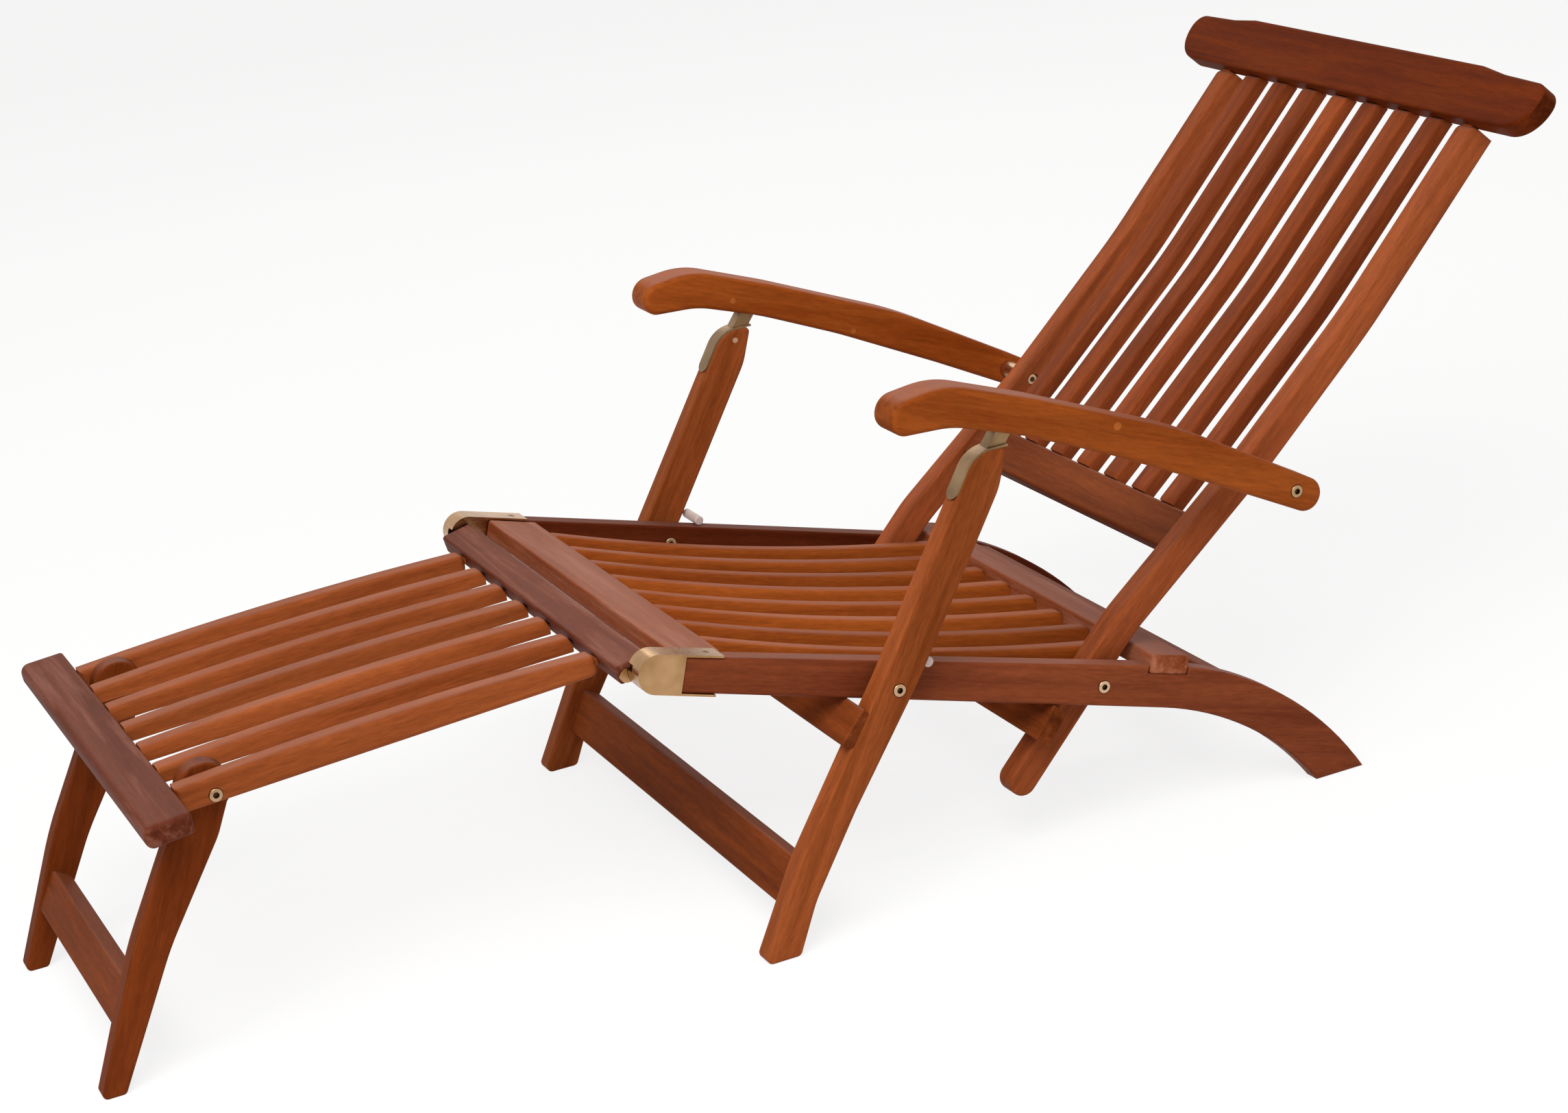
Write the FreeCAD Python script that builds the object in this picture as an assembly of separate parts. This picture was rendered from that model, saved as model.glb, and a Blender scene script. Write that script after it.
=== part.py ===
import FreeCAD, Part
import math
import os

# Folding steamer deck chair. The sitter faces -X and the sitter's left is -Y.
# Side views are drawn from the front corner of the front legs' feet, with Z = 0 on the floor.
# The finished pieces are moved so that the origin lies under the middle of the whole chair.

# Places across the chair, from its middle plane outwards
RAIL_INNER = 243.0
RAIL_THICKNESS = 22.0
LEG_GAP = 9.6
LEG_THICKNESS = 23.1
STILE_GAP = 11.0
STILE_WIDTH = 25.0
ARM_GAP = 35.9
ARM_WIDTH = 41.5
FOOT_LEG_INNER = 146.7
FOOT_LEG_THICKNESS = 21.0
FOOT_LEG_GAP = 1.3
FOOT_SLAT_WIDTH = 22.0
RAIL_OUTER = RAIL_INNER + RAIL_THICKNESS
LEG_INNER = RAIL_OUTER + LEG_GAP
LEG_OUTER = LEG_INNER + LEG_THICKNESS
LEG_MIDDLE = (LEG_INNER + LEG_OUTER) / 2
STILE_OUTER = RAIL_INNER - STILE_GAP
STILE_INNER = STILE_OUTER - STILE_WIDTH
SEAT_RAIL_PLAY = 3.0
SEAT_RAIL_HALF = RAIL_INNER - SEAT_RAIL_PLAY
FOOT_RAIL_PLAY = 5.0
FOOT_RAIL_HALF = RAIL_INNER - FOOT_RAIL_PLAY
ARM_INNER = STILE_OUTER + ARM_GAP
ARM_OUTER = ARM_INNER + ARM_WIDTH
FOOT_LEG_OUTER = FOOT_LEG_INNER + FOOT_LEG_THICKNESS
SIDE_SLAT_INNER = FOOT_LEG_OUTER + FOOT_LEG_GAP
SIDE_SLAT_OUTER = SIDE_SLAT_INNER + FOOT_SLAT_WIDTH

# Pivots in the side view
LEG_PIVOT = (166.0, 233.0)
BACK_PIVOT = (397.0, 164.0)
ARM_PIVOT = (599.0, 326.0)
FOOTREST_PIVOT = (-55.0, 295.0)
FOOT_LEG_PIVOT = (-451.0, 267.0)

# Fits, rounded edges and joints in the wood
RUNNING_CLEARANCE = 0.08
REST_GAP = 0.3
THROUGH = 5.0
SAME_PLACE = 0.001
SHORTEST_ARC = 0.01
LEG_EDGE = 3.0
BOARD_EDGE = 2.5
CORNER = 3.0
TENON_LENGTH = 10.0
TENON_ROOT = 4.0
TENON_THICKNESS = 7.0
SLAT_BOTTOM_ROUND = 1.0
BOW_SHARE = 0.93

# Bolts, spacers, screws, pegs and pins
BOLT_RADIUS = 4.0
BOLT_HEAD_RADIUS = 6.2
BOLT_HEAD_HEIGHT = 2.4
BOLT_HEAD_ROUND = 0.8
BOLT_PROUD = 1.2
BOLT_RECESS_PLAY = 0.5
SOCKET_RADIUS = 2.9
SOCKET_DEPTH = 2.0
NUT_RECESS = 3.0
SPACER_RADIUS = 9.0
SPACER_PLAY = 0.3
SCREW_HEAD_RADIUS = 4.0
SCREW_HEAD_HEIGHT = 2.0
SCREW_RADIUS = 2.0
SCREW_LENGTH = 14.0
PEG_RADIUS = 5.0
PEG_REACH = 24.6
PEG_ALONG = 33.0
PEG_ROUND = 1.5
PIN_RADIUS = 3.0
LEG_PIN_SHORT = 6.0
PLUG_RADIUS = 4.0
PLUG_DEPTH = 6.0

# Side rail: straight from the nose to the bend, then an arc down to the floor
RAIL_SLOPE = 16.35
RAIL_FRONT = -210.0
RAIL_BEND_START = 313.0
RAIL_BEND_RADIUS = 342.0
RAIL_BEND_ANGLE = 46.0
RAIL_HALF_DEPTH = 18.8
RAIL_TAPER = 0.0081
BELOW_FLOOR = [(0, 0, 0), (1000, 0, 0), (1000, -400, 0), (0, -400, 0)]

# Cross rail between the rails' rear ends
REAR_CROSS_FRONT = 521.0
REAR_CROSS_REAR = 543.0
REAR_CROSS_TOP = 136.0
REAR_CROSS_RISE = 8.8
REAR_CROSS_LOW = 105.0

# Brass cap on the rail front, with the hinge pin in its window
CAP_WALL = 2.1
CAP_SIDE = 1.5
CAP_CENTRE = (-55.0, 299.0)
CAP_NOSE = 19.0
CAP_PLATE_END = -204.7
CAP_TOP_END = -167.6
CAP_BOTTOM_END = -170.2
CAP_LAP = 2.0
CAP_SLOT_LOW = -3.0
CAP_SLOT_HIGH = 4.0
CAP_SLOT_DEPTH = 8.0
CAP_SLOT_FRONT = 40.0
CAP_SLOT_REAR = 8.0
CAP_WINDOW_LENGTH = 21.0
CAP_WINDOW_HEIGHT = 12.0
CAP_SCREW_TOP = -181.0
CAP_SCREW_BOTTOM = -187.0
HINGE_PIN_RADIUS = 3.0

# Front legs
LEG_OUTLINE = [
    (0, 0, 6), (47, 92, 250), (150, 247, 300), (268, 438, 30), (301, 438, 5),
    (288.5, 400, 60), (190, 240, 400), (110, 128, 150), (60, 50, 120), (38, 0, 6),
]
STOP_BAR_OUTLINE = [(127.6, 225.2, 2.5), (134.6, 218.2, 2), (114, 188, 2), (101, 195, 3)]
LEG_STRETCHER_OUTLINE = [(56, 84, 3), (74, 75, 3), (53, 32, 3), (35, 41, 3)]
STOP_PLUGS = [(115, 222), (103, 205)]
PLUG_PROUD = 0.3

# Brass strap and forked tongue on the leg top
STRAP_WALL = 2.0
STRAP_WIDTH = 19.0
STRAP_REAR = 302.0
STRAP_END_FLAT = 1.2
STRAP_SCREW = (247.0, 406.0)
TONGUE_WIDTH = 14.0
TONGUE_WALL = 2.5
TONGUE_RADIUS = 7.4
TONGUE_LENGTH = 45.0
TONGUE_HEAD = (307.0, 461.0)
LEG_TOP_PIN = (281.0, 427.0)

# Arms
ARM_OUTLINE = [
    (182, 506, 24), (240, 513, 90), (330, 479, 300), (480, 415, 500), (634, 325, 16.4),
    (617, 296.9, 16.4), (515, 351, 500), (400, 409, 600), (310, 449, 400), (242, 472, 100),
    (182, 474.5, 18),
]
ARM_EDGE = 5.5
GROOVE_FRONT = (281.0, 472.0)
GROOVE_REAR = (417.0, 409.0)
GROOVE_WIDTH = 14.6
GROOVE_ROOF = 15.5
GROOVE_DEPTH = 60.0
GROOVE_END = 5.0
GROOVE_PIN_SHORT = 12.0
ARM_PLUG = (410.0, 435.0)

# Back stiles and the stop bar across their lower ends
STILE_LINE = [(308.3, 64.2, 14.5), (445.6, 206.9, 150), (600, 329, 500), (735, 450, 700), (893, 615, 0)]
STILE_DEPTH = 30.0
STILE_EDGE = 3.0
STILE_TOP_ROUND = 9.0
STILE_TENON_WIDTH = 13.0
BACK_STOP_OUTLINE = [(341.8, 159.5, 1.5), (354.1, 147, 2), (332, 119, 2), (318.6, 130.5, 2)]
BACK_STOP_EDGE = 1.0
BACK_STOP_SEAT = [(341.8, 159.5, 1.5), (362, 139, 0), (340, 111, 0), (318.6, 130.5, 2)]

# Head rail, drawn flat: half widths and heights of its front, then its place in the side view
HEAD_LOW = -7.0
HEAD_HALF_OUTLINE = [(205, 52, 12), (243, 47.5, 25), (314, 45.5, 22), (316.5, -7, 44)]
HEAD_ORIGIN = (893.0, 615.0)
HEAD_SLOPE = 46.8
HEAD_FRONT = 25.0
HEAD_THICKNESS = 22.0
HEAD_EDGE = 3.0
HEAD_TENON_LOW = 5.0
HEAD_TENON_REACH = 12.0

# Back slats and the lower cross rail that carries them
BACK_SLAT_COUNT = 7
BACK_SLAT_WIDTH = 26.0
BACK_SLAT_STILE_GAP = 27.8
BACK_SLAT_REACH = STILE_INNER - BACK_SLAT_STILE_GAP - BACK_SLAT_WIDTH / 2
BACK_SLAT_THICKNESS = 16.0
BACK_SLAT_SHIFT = 6.0
BACK_SLAT_TOP_ROUND = 5.0
BACK_SLAT_TENON_WIDTH = 16.0
CROSS_RAIL_SLOPE = 38.8
CROSS_RAIL_LOW = 147.0
CROSS_RAIL_HIGH = 191.0
CROSS_RAIL_FRONT = 12.0
CROSS_RAIL_BACK = -8.0

# Seat, drawn along the rail and up from its centreline
SEAT_RAIL_FRONT = -211.4
SEAT_RAIL_REAR = -158.2
SEAT_RAIL_TOP = 17.1
SEAT_RAIL_BOTTOM = -1.9
SEAT_PIVOT_ALONG = -186.0
DOWEL_END_PLAY = 1.5
CROSSBAR_FRONT = 290.5
CROSSBAR_REAR = 333.0
CROSSBAR_LOW = 13.0
CROSSBAR_HIGH = 32.5
NOTCH_CLEARANCE = 1.0
NOTCH_TOP = 53.0
SEAT_SLAT_COUNT = 8
SEAT_SLAT_WIDTH = 20.0
SEAT_SLAT_STILE_GAP = 3.45
SEAT_SLAT_REACH = STILE_INNER - SEAT_SLAT_STILE_GAP - SEAT_SLAT_WIDTH / 2
SEAT_SLAT_DEPTH = 15.0
SEAT_SLAT_FRONT_TOP = 16.6
SEAT_SLAT_REAR_TOP = 27.2
SEAT_SLAT_SAG = 9.8
SEAT_SLAT_END_ROUNDS = (0.0, 6.0)
SEAT_TENON_FRONT = 3.1
SEAT_TENON_REAR = 14.7
SLAT_TENON_INSET = 8.0
SLAT_TOP_ROUND = 6.0

# Footrest
FOOT_RAIL_OUTLINE = [(-85, 304, 3), (-53, 311, 3), (-49, 292.5, 3), (-81, 285.5, 3)]
FOOT_END_OUTLINE = [(0, -1, 3), (-44.2, -2.3, 9), (-43.3, -25.3, 8), (0, -21.6, 3)]
FOOT_END_EDGE = 6.0
FOOT_END_HALF = 247.4
FOOT_SLAT_COUNT = 7
FOOT_SLAT_REACH = (SIDE_SLAT_INNER + SIDE_SLAT_OUTER) / 2
FOOT_SLAT_DEPTH = 15.0
FOOT_SLAT_CROWN = 5.0
FOOT_SLAT_BELLY = 4.5
FOOT_SLAT_FRONT = (-486.0, 281.5)
FOOT_SLAT_REAR = (-85.0, 302.0)
FOOT_SLAT_END_ROUNDS = (0.0, 7.0)
SIDE_SLAT_FRONT_DEPTH = 25.5
SIDE_SLAT_REAR_DEPTH = 21.0
SIDE_SLAT_END_ROUND = 8.0
FOOT_TENON_LOW = -11.0
FOOT_TENON_THICKNESS = 6.0
LUG_START = (-75.0, 294.75)
LUG_THICKNESS = 2.5
LUG_RADIUS = 7.0

# Footrest legs
FOOT_DISC_CENTRE = (-454.7, 265.4)
FOOT_DISC_RADIUS = 24.6
FOOT_LEG_OUTLINE = [
    (-479, 262, 0), (-479, 257, 10), (-545, 133, 400), (-597, 0, 5), (-573.4, 0, 5),
    (-510, 126.5, 300), (-450, 219, 80), (-431, 262, 0),
]
FOOT_STRETCHER_OUTLINE = [(-534, 87, 3), (-552, 98, 3), (-572, 61, 3), (-554, 50, 3)]

pieces = {}


# Drawing helpers

def vector(x, z, y=0.0):
    return FreeCAD.Vector(x, y, z)


class Line:
    """A direction in the side view: a start, how far along it and how far above it."""

    def __init__(self, start, slope):
        self.start = start
        self.cos = math.cos(math.radians(slope))
        self.sin = math.sin(math.radians(slope))

    def at(self, along, above):
        x = self.start[0] + along * self.cos - above * self.sin
        z = self.start[1] + along * self.sin + above * self.cos
        return (x, z)

    def corners(self, places):
        return [self.at(place[0], place[1]) + tuple(place[2:]) for place in places]


def slope_between(start, end):
    return math.degrees(math.atan2(end[1] - start[1], end[0] - start[0]))


def outline_face(corners):
    """Face in the side view: straight lines joined by tangent arcs at each corner's radius."""
    count = len(corners)
    points = [vector(corner[0], corner[1]) for corner in corners]
    turns = []
    reaches = []
    for index in range(count):
        into = points[index] - points[index - 1]
        out = points[(index + 1) % count] - points[index]
        turn = into.getAngle(out)
        turns.append(turn)
        reaches.append(corners[index][2] * math.tan(turn / 2))
    for index in range(count):
        after = (index + 1) % count
        room = (points[after] - points[index]).Length * 0.998
        wanted = reaches[index] + reaches[after]
        if wanted > room:
            reaches[index] *= room / wanted
            reaches[after] *= room / wanted
    edges = []
    starts = []
    ends = []
    for index in range(count):
        into = (points[index] - points[index - 1]).normalize()
        out = (points[(index + 1) % count] - points[index]).normalize()
        reach = reaches[index]
        starts.append(points[index] - into * reach)
        ends.append(points[index] + out * reach)
        if reach < SHORTEST_ARC:
            continue
        half = turns[index] / 2
        radius = reach / math.tan(half)
        inward = (out - into).normalize()
        middle = points[index] + inward * (radius / math.cos(half) - radius)
        edges.append(Part.Arc(starts[index], middle, ends[index]).toShape())
    for index in range(count):
        after = (index + 1) % count
        if ends[index].distanceToPoint(starts[after]) > SAME_PLACE:
            edges.append(Part.LineSegment(ends[index], starts[after]).toShape())
    return Part.Face(Part.Wire(Part.__sortEdges__(edges)))


def extruded(face, low, high):
    """Solid between two places across the chair."""
    solid = face.extrude(FreeCAD.Vector(0, high - low, 0))
    solid.translate(FreeCAD.Vector(0, low, 0))
    return solid


def in_plane(edge, y):
    return all(abs(vertex.Y - y) < SAME_PLACE for vertex in edge.Vertexes)


def round_rims(solid, places, radius):
    """Rounds every edge that lies at one of the given places across the chair."""
    rims = [edge for edge in solid.Edges if any(in_plane(edge, y) for y in places)]
    return solid.makeFillet(radius, rims)


def board(corners, low, high, edge=0.0):
    solid = extruded(outline_face(corners), low, high)
    if edge > 0:
        solid = round_rims(solid, (low, high), edge)
    return solid


def place_on(line, point):
    """Distance of a side-view point along a line and above it."""
    x = point[0] - line.start[0]
    z = point[1] - line.start[1]
    return (x * line.cos + z * line.sin, z * line.cos - x * line.sin)


def strip(line, front, rear, low, high, y_low, y_high):
    """Bar along a line of the side view; low and high are heights at its front and rear end."""
    places = [(front, high[0], 0), (rear, high[1], 0), (rear, low[1], 0), (front, low[0], 0)]
    return board(line.corners(places), y_low, y_high)


def rod(centre, low, high, radius):
    """Round bar across the chair."""
    base = vector(centre[0], centre[1], low)
    return Part.makeCylinder(radius, high - low, base, FreeCAD.Vector(0, 1, 0))


def tube(centre, low, high, radius, bore):
    return rod(centre, low, high, radius).cut(rod(centre, low - THROUGH, high + THROUGH, bore))


def mirrored(solid):
    return solid.mirror(FreeCAD.Vector(0, 0, 0), FreeCAD.Vector(0, 1, 0))


def both_sides(solids):
    """The given left-hand and right-hand solids; they are drawn at +Y, the right."""
    return [mirrored(solid) for solid in solids] + list(solids)


def keep(name, solids):
    if not isinstance(solids, list):
        solids = [solids]
    pieces[name] = solids


def shifted(path, distance):
    """Open path moved sideways, to the left of its direction for a positive distance."""
    last = len(path) - 1
    slopes = [math.radians(slope_between(path[index], path[index + 1])) for index in range(last)]
    result = []
    for index in range(last + 1):
        into = slopes[max(index - 1, 0)]
        out = slopes[min(index, last - 1)]
        half = (out - into) / 2
        reach = distance / math.cos(half)
        normal = (into + out) / 2
        radius = path[index][2]
        if 0 < index < last:
            radius -= math.copysign(distance, half)
        x = path[index][0] - reach * math.sin(normal)
        z = path[index][1] + reach * math.cos(normal)
        result.append((x, z, radius))
    return result


def bar_outline(path, left, right, last_right=0.0):
    """Outline of a bar along an open path; the last corner on its right has its own radius."""
    back = shifted(path, -right)[::-1]
    back[0] = back[0][:2] + (last_right,)
    return shifted(path, left) + back


def cut_all(solid, tools):
    for tool in tools:
        solid = solid.cut(tool)
    return solid


# Bolts, screws and spacers

def hexagon(centre, low, high, radius):
    points = []
    for turn in range(7):
        angle = math.radians(60 * turn)
        x = centre[0] + radius * math.cos(angle)
        z = centre[1] + radius * math.sin(angle)
        points.append(vector(x, z, low))
    return Part.Face(Part.makePolygon(points)).extrude(FreeCAD.Vector(0, high - low, 0))


def barrel_bolt(centre, inner, outer):
    """Bolt with a domed socket head at its outer end and a round nut at its inner end."""
    head = rod(centre, outer - BOLT_HEAD_HEIGHT, outer, BOLT_HEAD_RADIUS)
    head = round_rims(head, (outer,), BOLT_HEAD_ROUND)
    nut = rod(centre, inner, inner + BOLT_HEAD_HEIGHT, BOLT_HEAD_RADIUS)
    nut = round_rims(nut, (inner,), BOLT_HEAD_ROUND)
    shank = rod(centre, inner + BOLT_HEAD_ROUND, outer - SOCKET_DEPTH, BOLT_RADIUS)
    bolt = shank.fuse([head, nut]).removeSplitter()
    return bolt.cut(hexagon(centre, outer - SOCKET_DEPTH, outer + THROUGH, SOCKET_RADIUS))


def bolt_hole(centre, inner, outer):
    """Bore for a barrel bolt with a counterbore at each end."""
    radius = BOLT_RADIUS + RUNNING_CLEARANCE
    bore = rod(centre, inner - THROUGH, outer + THROUGH, radius)
    recess = BOLT_HEAD_RADIUS + BOLT_RECESS_PLAY
    seat_in = rod(centre, inner - THROUGH, inner + BOLT_HEAD_HEIGHT, recess)
    seat_out = rod(centre, outer - BOLT_HEAD_HEIGHT, outer + THROUGH, recess)
    return bore.fuse([seat_in, seat_out])


def screw(head_point, inward):
    """Countersunk screw: a flat conical head on a plain shank."""
    head = Part.makeCone(SCREW_HEAD_RADIUS, SCREW_RADIUS, SCREW_HEAD_HEIGHT, head_point, inward)
    shank = Part.makeCylinder(SCREW_RADIUS, SCREW_LENGTH, head_point, inward)
    return head.fuse(shank).removeSplitter()


# Side rails

rail_line = Line(LEG_PIVOT, -RAIL_SLOPE)


def half_depth(along):
    return RAIL_HALF_DEPTH + RAIL_TAPER * along


def rail_place(along, above):
    """Point of the side view at a distance along the rail's centreline and a height above it."""
    if along <= RAIL_BEND_START:
        return rail_line.at(along, above)
    angle = (along - RAIL_BEND_START) / RAIL_BEND_RADIUS
    radius = RAIL_BEND_RADIUS + above
    straight = RAIL_BEND_START + radius * math.sin(angle)
    return rail_line.at(straight, radius * math.cos(angle) - RAIL_BEND_RADIUS)


def rail_edge(along, side):
    x, z = rail_place(along, side * half_depth(along))
    return vector(x, z)


def rail_face():
    end = RAIL_BEND_START + math.radians(RAIL_BEND_ANGLE) * RAIL_BEND_RADIUS
    middle = (RAIL_BEND_START + end) / 2
    edges = [Part.LineSegment(rail_edge(RAIL_FRONT, -1), rail_edge(RAIL_FRONT, 1)).toShape()]
    for side in (1, -1):
        front = rail_edge(RAIL_FRONT, side)
        bend = rail_edge(RAIL_BEND_START, side)
        edges.append(Part.LineSegment(front, bend).toShape())
        edges.append(Part.Arc(bend, rail_edge(middle, side), rail_edge(end, side)).toShape())
    edges.append(Part.LineSegment(rail_edge(end, -1), rail_edge(end, 1)).toShape())
    face = Part.Face(Part.Wire(Part.__sortEdges__(edges)))
    return face.cut(outline_face(BELOW_FLOOR))


def notch():
    """Notch in the rail's top edge that the seat's crossbar rests in."""
    front = CROSSBAR_FRONT - NOTCH_CLEARANCE
    rear = CROSSBAR_REAR + NOTCH_CLEARANCE
    low, high = (CROSSBAR_LOW, CROSSBAR_LOW), (NOTCH_TOP, NOTCH_TOP)
    return strip(rail_line, front, rear, low, high, RAIL_INNER - THROUGH, RAIL_OUTER + THROUGH)


seat_pivot = rail_line.at(SEAT_PIVOT_ALONG, (SEAT_RAIL_TOP + SEAT_RAIL_BOTTOM) / 2)


def build_rails():
    rail = extruded(rail_face(), RAIL_INNER, RAIL_OUTER)
    rail = rail.cut(notch())
    rail = round_rims(rail, (RAIL_INNER, RAIL_OUTER), LEG_EDGE)
    rail = rail.cut(bolt_hole(LEG_PIVOT, RAIL_INNER, LEG_OUTER))
    rail = rail.cut(bolt_hole(BACK_PIVOT, STILE_INNER, RAIL_OUTER))
    dowel_radius = BOLT_RADIUS + RUNNING_CLEARANCE
    rail = rail.cut(rod(seat_pivot, RAIL_INNER - THROUGH, RAIL_INNER + TENON_LENGTH, dowel_radius))
    rail = cut_all(rail, cap_screws())
    keep("rail_right", rail)
    keep("rail_left", mirrored(rail))


def build_rear_cross_rail():
    """Cross rail whose top follows the fall of the side rails."""
    corners = [
        (REAR_CROSS_REAR, REAR_CROSS_TOP, CORNER), (REAR_CROSS_REAR, REAR_CROSS_LOW, CORNER),
        (REAR_CROSS_FRONT, REAR_CROSS_LOW, CORNER),
        (REAR_CROSS_FRONT, REAR_CROSS_TOP + REAR_CROSS_RISE, CORNER),
    ]
    keep("rear_cross_rail", board(corners, -RAIL_INNER, RAIL_INNER))


nose_along = place_on(rail_line, CAP_CENTRE)[0]


def cap_outline(grow, rear):
    """Outline round the nose of the rail, grown outwards from the wood by the given amount."""
    nose = CAP_NOSE - CAP_WALL + grow
    front = nose_along - nose
    high = half_depth(rear) + grow
    low = half_depth(front) + grow
    places = [(rear, high, 0), (front, low, nose), (front, -low, nose), (rear, -high, 0)]
    return rail_line.corners(places)


def cap_screws():
    """One screw through the top strap and one through the bottom strap."""
    middle = (RAIL_INNER + RAIL_OUTER) / 2
    screws = []
    for side, place in ((1, CAP_SCREW_TOP), (-1, CAP_SCREW_BOTTOM)):
        x, z = rail_line.at(place, side * (half_depth(place) + CAP_WALL))
        inward = vector(side * rail_line.sin, -side * rail_line.cos)
        screws.append(screw(vector(x, z, middle), inward))
    return screws


def build_hinge_caps():
    """Brass caps: side plates, a band round the nose and straps along the rail's edges."""
    inner = RAIL_INNER - CAP_SIDE
    outer = RAIL_OUTER + CAP_SIDE
    shell = board(cap_outline(CAP_WALL, CAP_PLATE_END), inner, outer)
    for side, rear in ((1, CAP_TOP_END), (-1, CAP_BOTTOM_END)):
        front = CAP_PLATE_END - CAP_LAP
        near = [side * half_depth(front), side * half_depth(rear)]
        far = [side * (half_depth(front) + CAP_WALL), side * (half_depth(rear) + CAP_WALL)]
        shell = shell.fuse(strip(rail_line, front, rear, near, far, inner, outer))
    shell = shell.removeSplitter()
    hollow = board(cap_outline(0, CAP_TOP_END + THROUGH), RAIL_INNER, RAIL_OUTER)
    front, rear = nose_along - CAP_SLOT_FRONT, nose_along - CAP_SLOT_REAR
    low, high = (CAP_SLOT_LOW, CAP_SLOT_LOW), (CAP_SLOT_HIGH, CAP_SLOT_HIGH)
    slot = strip(rail_line, front, rear, low, high, inner - THROUGH, RAIL_INNER + CAP_SLOT_DEPTH)
    window_line = Line(FOOTREST_PIVOT, -RAIL_SLOPE)
    half = CAP_WINDOW_LENGTH / 2
    low, high = -CAP_WINDOW_HEIGHT / 2, CAP_WINDOW_HEIGHT / 2
    low, high = (low, low), (high, high)
    window = strip(window_line, -half, half, low, high, inner - THROUGH, RAIL_INNER + CAP_SIDE)
    cap = cut_all(shell, [hollow, slot, window] + cap_screws())
    keep("hinge_caps", both_sides([cap]))
    pin = rod(FOOTREST_PIVOT, FOOT_RAIL_HALF + REST_GAP, RAIL_OUTER, HINGE_PIN_RADIUS)
    keep("footrest_hinge_pins", both_sides([pin]))
    keep("hinge_cap_screws", both_sides(cap_screws()))


def build_pivots():
    leg_bolt = barrel_bolt(LEG_PIVOT, RAIL_INNER - BOLT_PROUD, LEG_OUTER + BOLT_PROUD)
    back_bolt = barrel_bolt(BACK_PIVOT, STILE_INNER - BOLT_PROUD, RAIL_OUTER + BOLT_PROUD)
    keep("pivot_bolts", both_sides([leg_bolt, back_bolt]))
    bore = BOLT_RADIUS + RUNNING_CLEARANCE
    leg_spacer = tube(LEG_PIVOT, RAIL_OUTER, LEG_INNER - SPACER_PLAY, SPACER_RADIUS, bore)
    back_spacer = tube(BACK_PIVOT, STILE_OUTER + SPACER_PLAY, RAIL_INNER, SPACER_RADIUS, bore)
    keep("pivot_spacers", both_sides([leg_spacer, back_spacer]))


build_rails()
build_rear_cross_rail()
build_hinge_caps()
build_pivots()


# Front legs

peg_place = rail_line.at(PEG_ALONG, half_depth(PEG_ALONG) + REST_GAP + PEG_RADIUS)


def strap_screw(y):
    x, z = STRAP_SCREW
    edge_slope = slope_between(LEG_OUTLINE[2], LEG_OUTLINE[3])
    inward = vector(math.sin(math.radians(edge_slope)), -math.cos(math.radians(edge_slope)))
    return screw(vector(x, z, y), inward)


def build_straps():
    """Brass straps down the front of each leg and over its top, with the tongues on them."""
    low = LEG_MIDDLE - STRAP_WIDTH / 2
    high = LEG_MIDDLE + STRAP_WIDTH / 2
    front_line = Line(LEG_OUTLINE[2][:2], slope_between(LEG_OUTLINE[2], LEG_OUTLINE[3]))
    end = front_line.at(place_on(front_line, STRAP_SCREW)[0] - STRAP_WIDTH / 2, 0)
    path = [end + (0,), LEG_OUTLINE[3], (STRAP_REAR, LEG_OUTLINE[3][1], 0)]
    strap = board(bar_outline(path, STRAP_WALL, 0), low, high)
    corners = [edge for edge in strap.Edges if is_end_corner(edge, end, STRAP_WALL)]
    strap = strap.makeFillet((STRAP_WIDTH - STRAP_END_FLAT) / 2, corners)
    strap = strap.cut(strap_screw(LEG_MIDDLE)).fuse(tongue()).removeSplitter()
    keep("leg_straps", both_sides([strap]))
    keep("strap_screws", both_sides([strap_screw(LEG_MIDDLE)]))
    keep("leg_top_pins", both_sides([rod(LEG_TOP_PIN, LEG_INNER, LEG_OUTER - LEG_PIN_SHORT, PIN_RADIUS)]))


def is_end_corner(edge, place, reach):
    """True for an edge as long as the strap is thick that lies at the given place."""
    start, end = edge.Vertexes[0], edge.Vertexes[-1]
    flat = abs(start.Y - end.Y) < SAME_PLACE
    near = math.hypot(edge.CenterOfMass.x - place[0], edge.CenterOfMass.z - place[1]) < reach
    return flat and near and edge.Length < reach * 1.5


def tongue():
    """Forked brass tongue that stands on a strap and runs in the arm's groove."""
    low = LEG_MIDDLE - TONGUE_WIDTH / 2
    high = LEG_MIDDLE + TONGUE_WIDTH / 2
    lean = Line(TONGUE_HEAD, slope_between(LEG_TOP_PIN, TONGUE_HEAD))
    r = TONGUE_RADIUS
    root = -TONGUE_LENGTH
    places = [(root, r, 0), (r, r, r), (r, -r, r), (root, -r, 0)]
    solid = board(lean.corners(places), low, high)
    web = r - TONGUE_WALL
    inner = [(root, -r - THROUGH, 0), (root, web, 0), (0, web, CORNER), (0, -r - THROUGH, 0)]
    gap = board(lean.corners(inner), low + TONGUE_WALL, high - TONGUE_WALL)
    under = Line((0, LEG_OUTLINE[3][1] + STRAP_WALL), 0)
    reach = STRAP_REAR + TONGUE_LENGTH
    deep = (-TONGUE_LENGTH, -TONGUE_LENGTH)
    below = strip(under, 0, reach, deep, (0, 0), low - THROUGH, high + THROUGH)
    return solid.cut(gap).cut(below)


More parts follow.
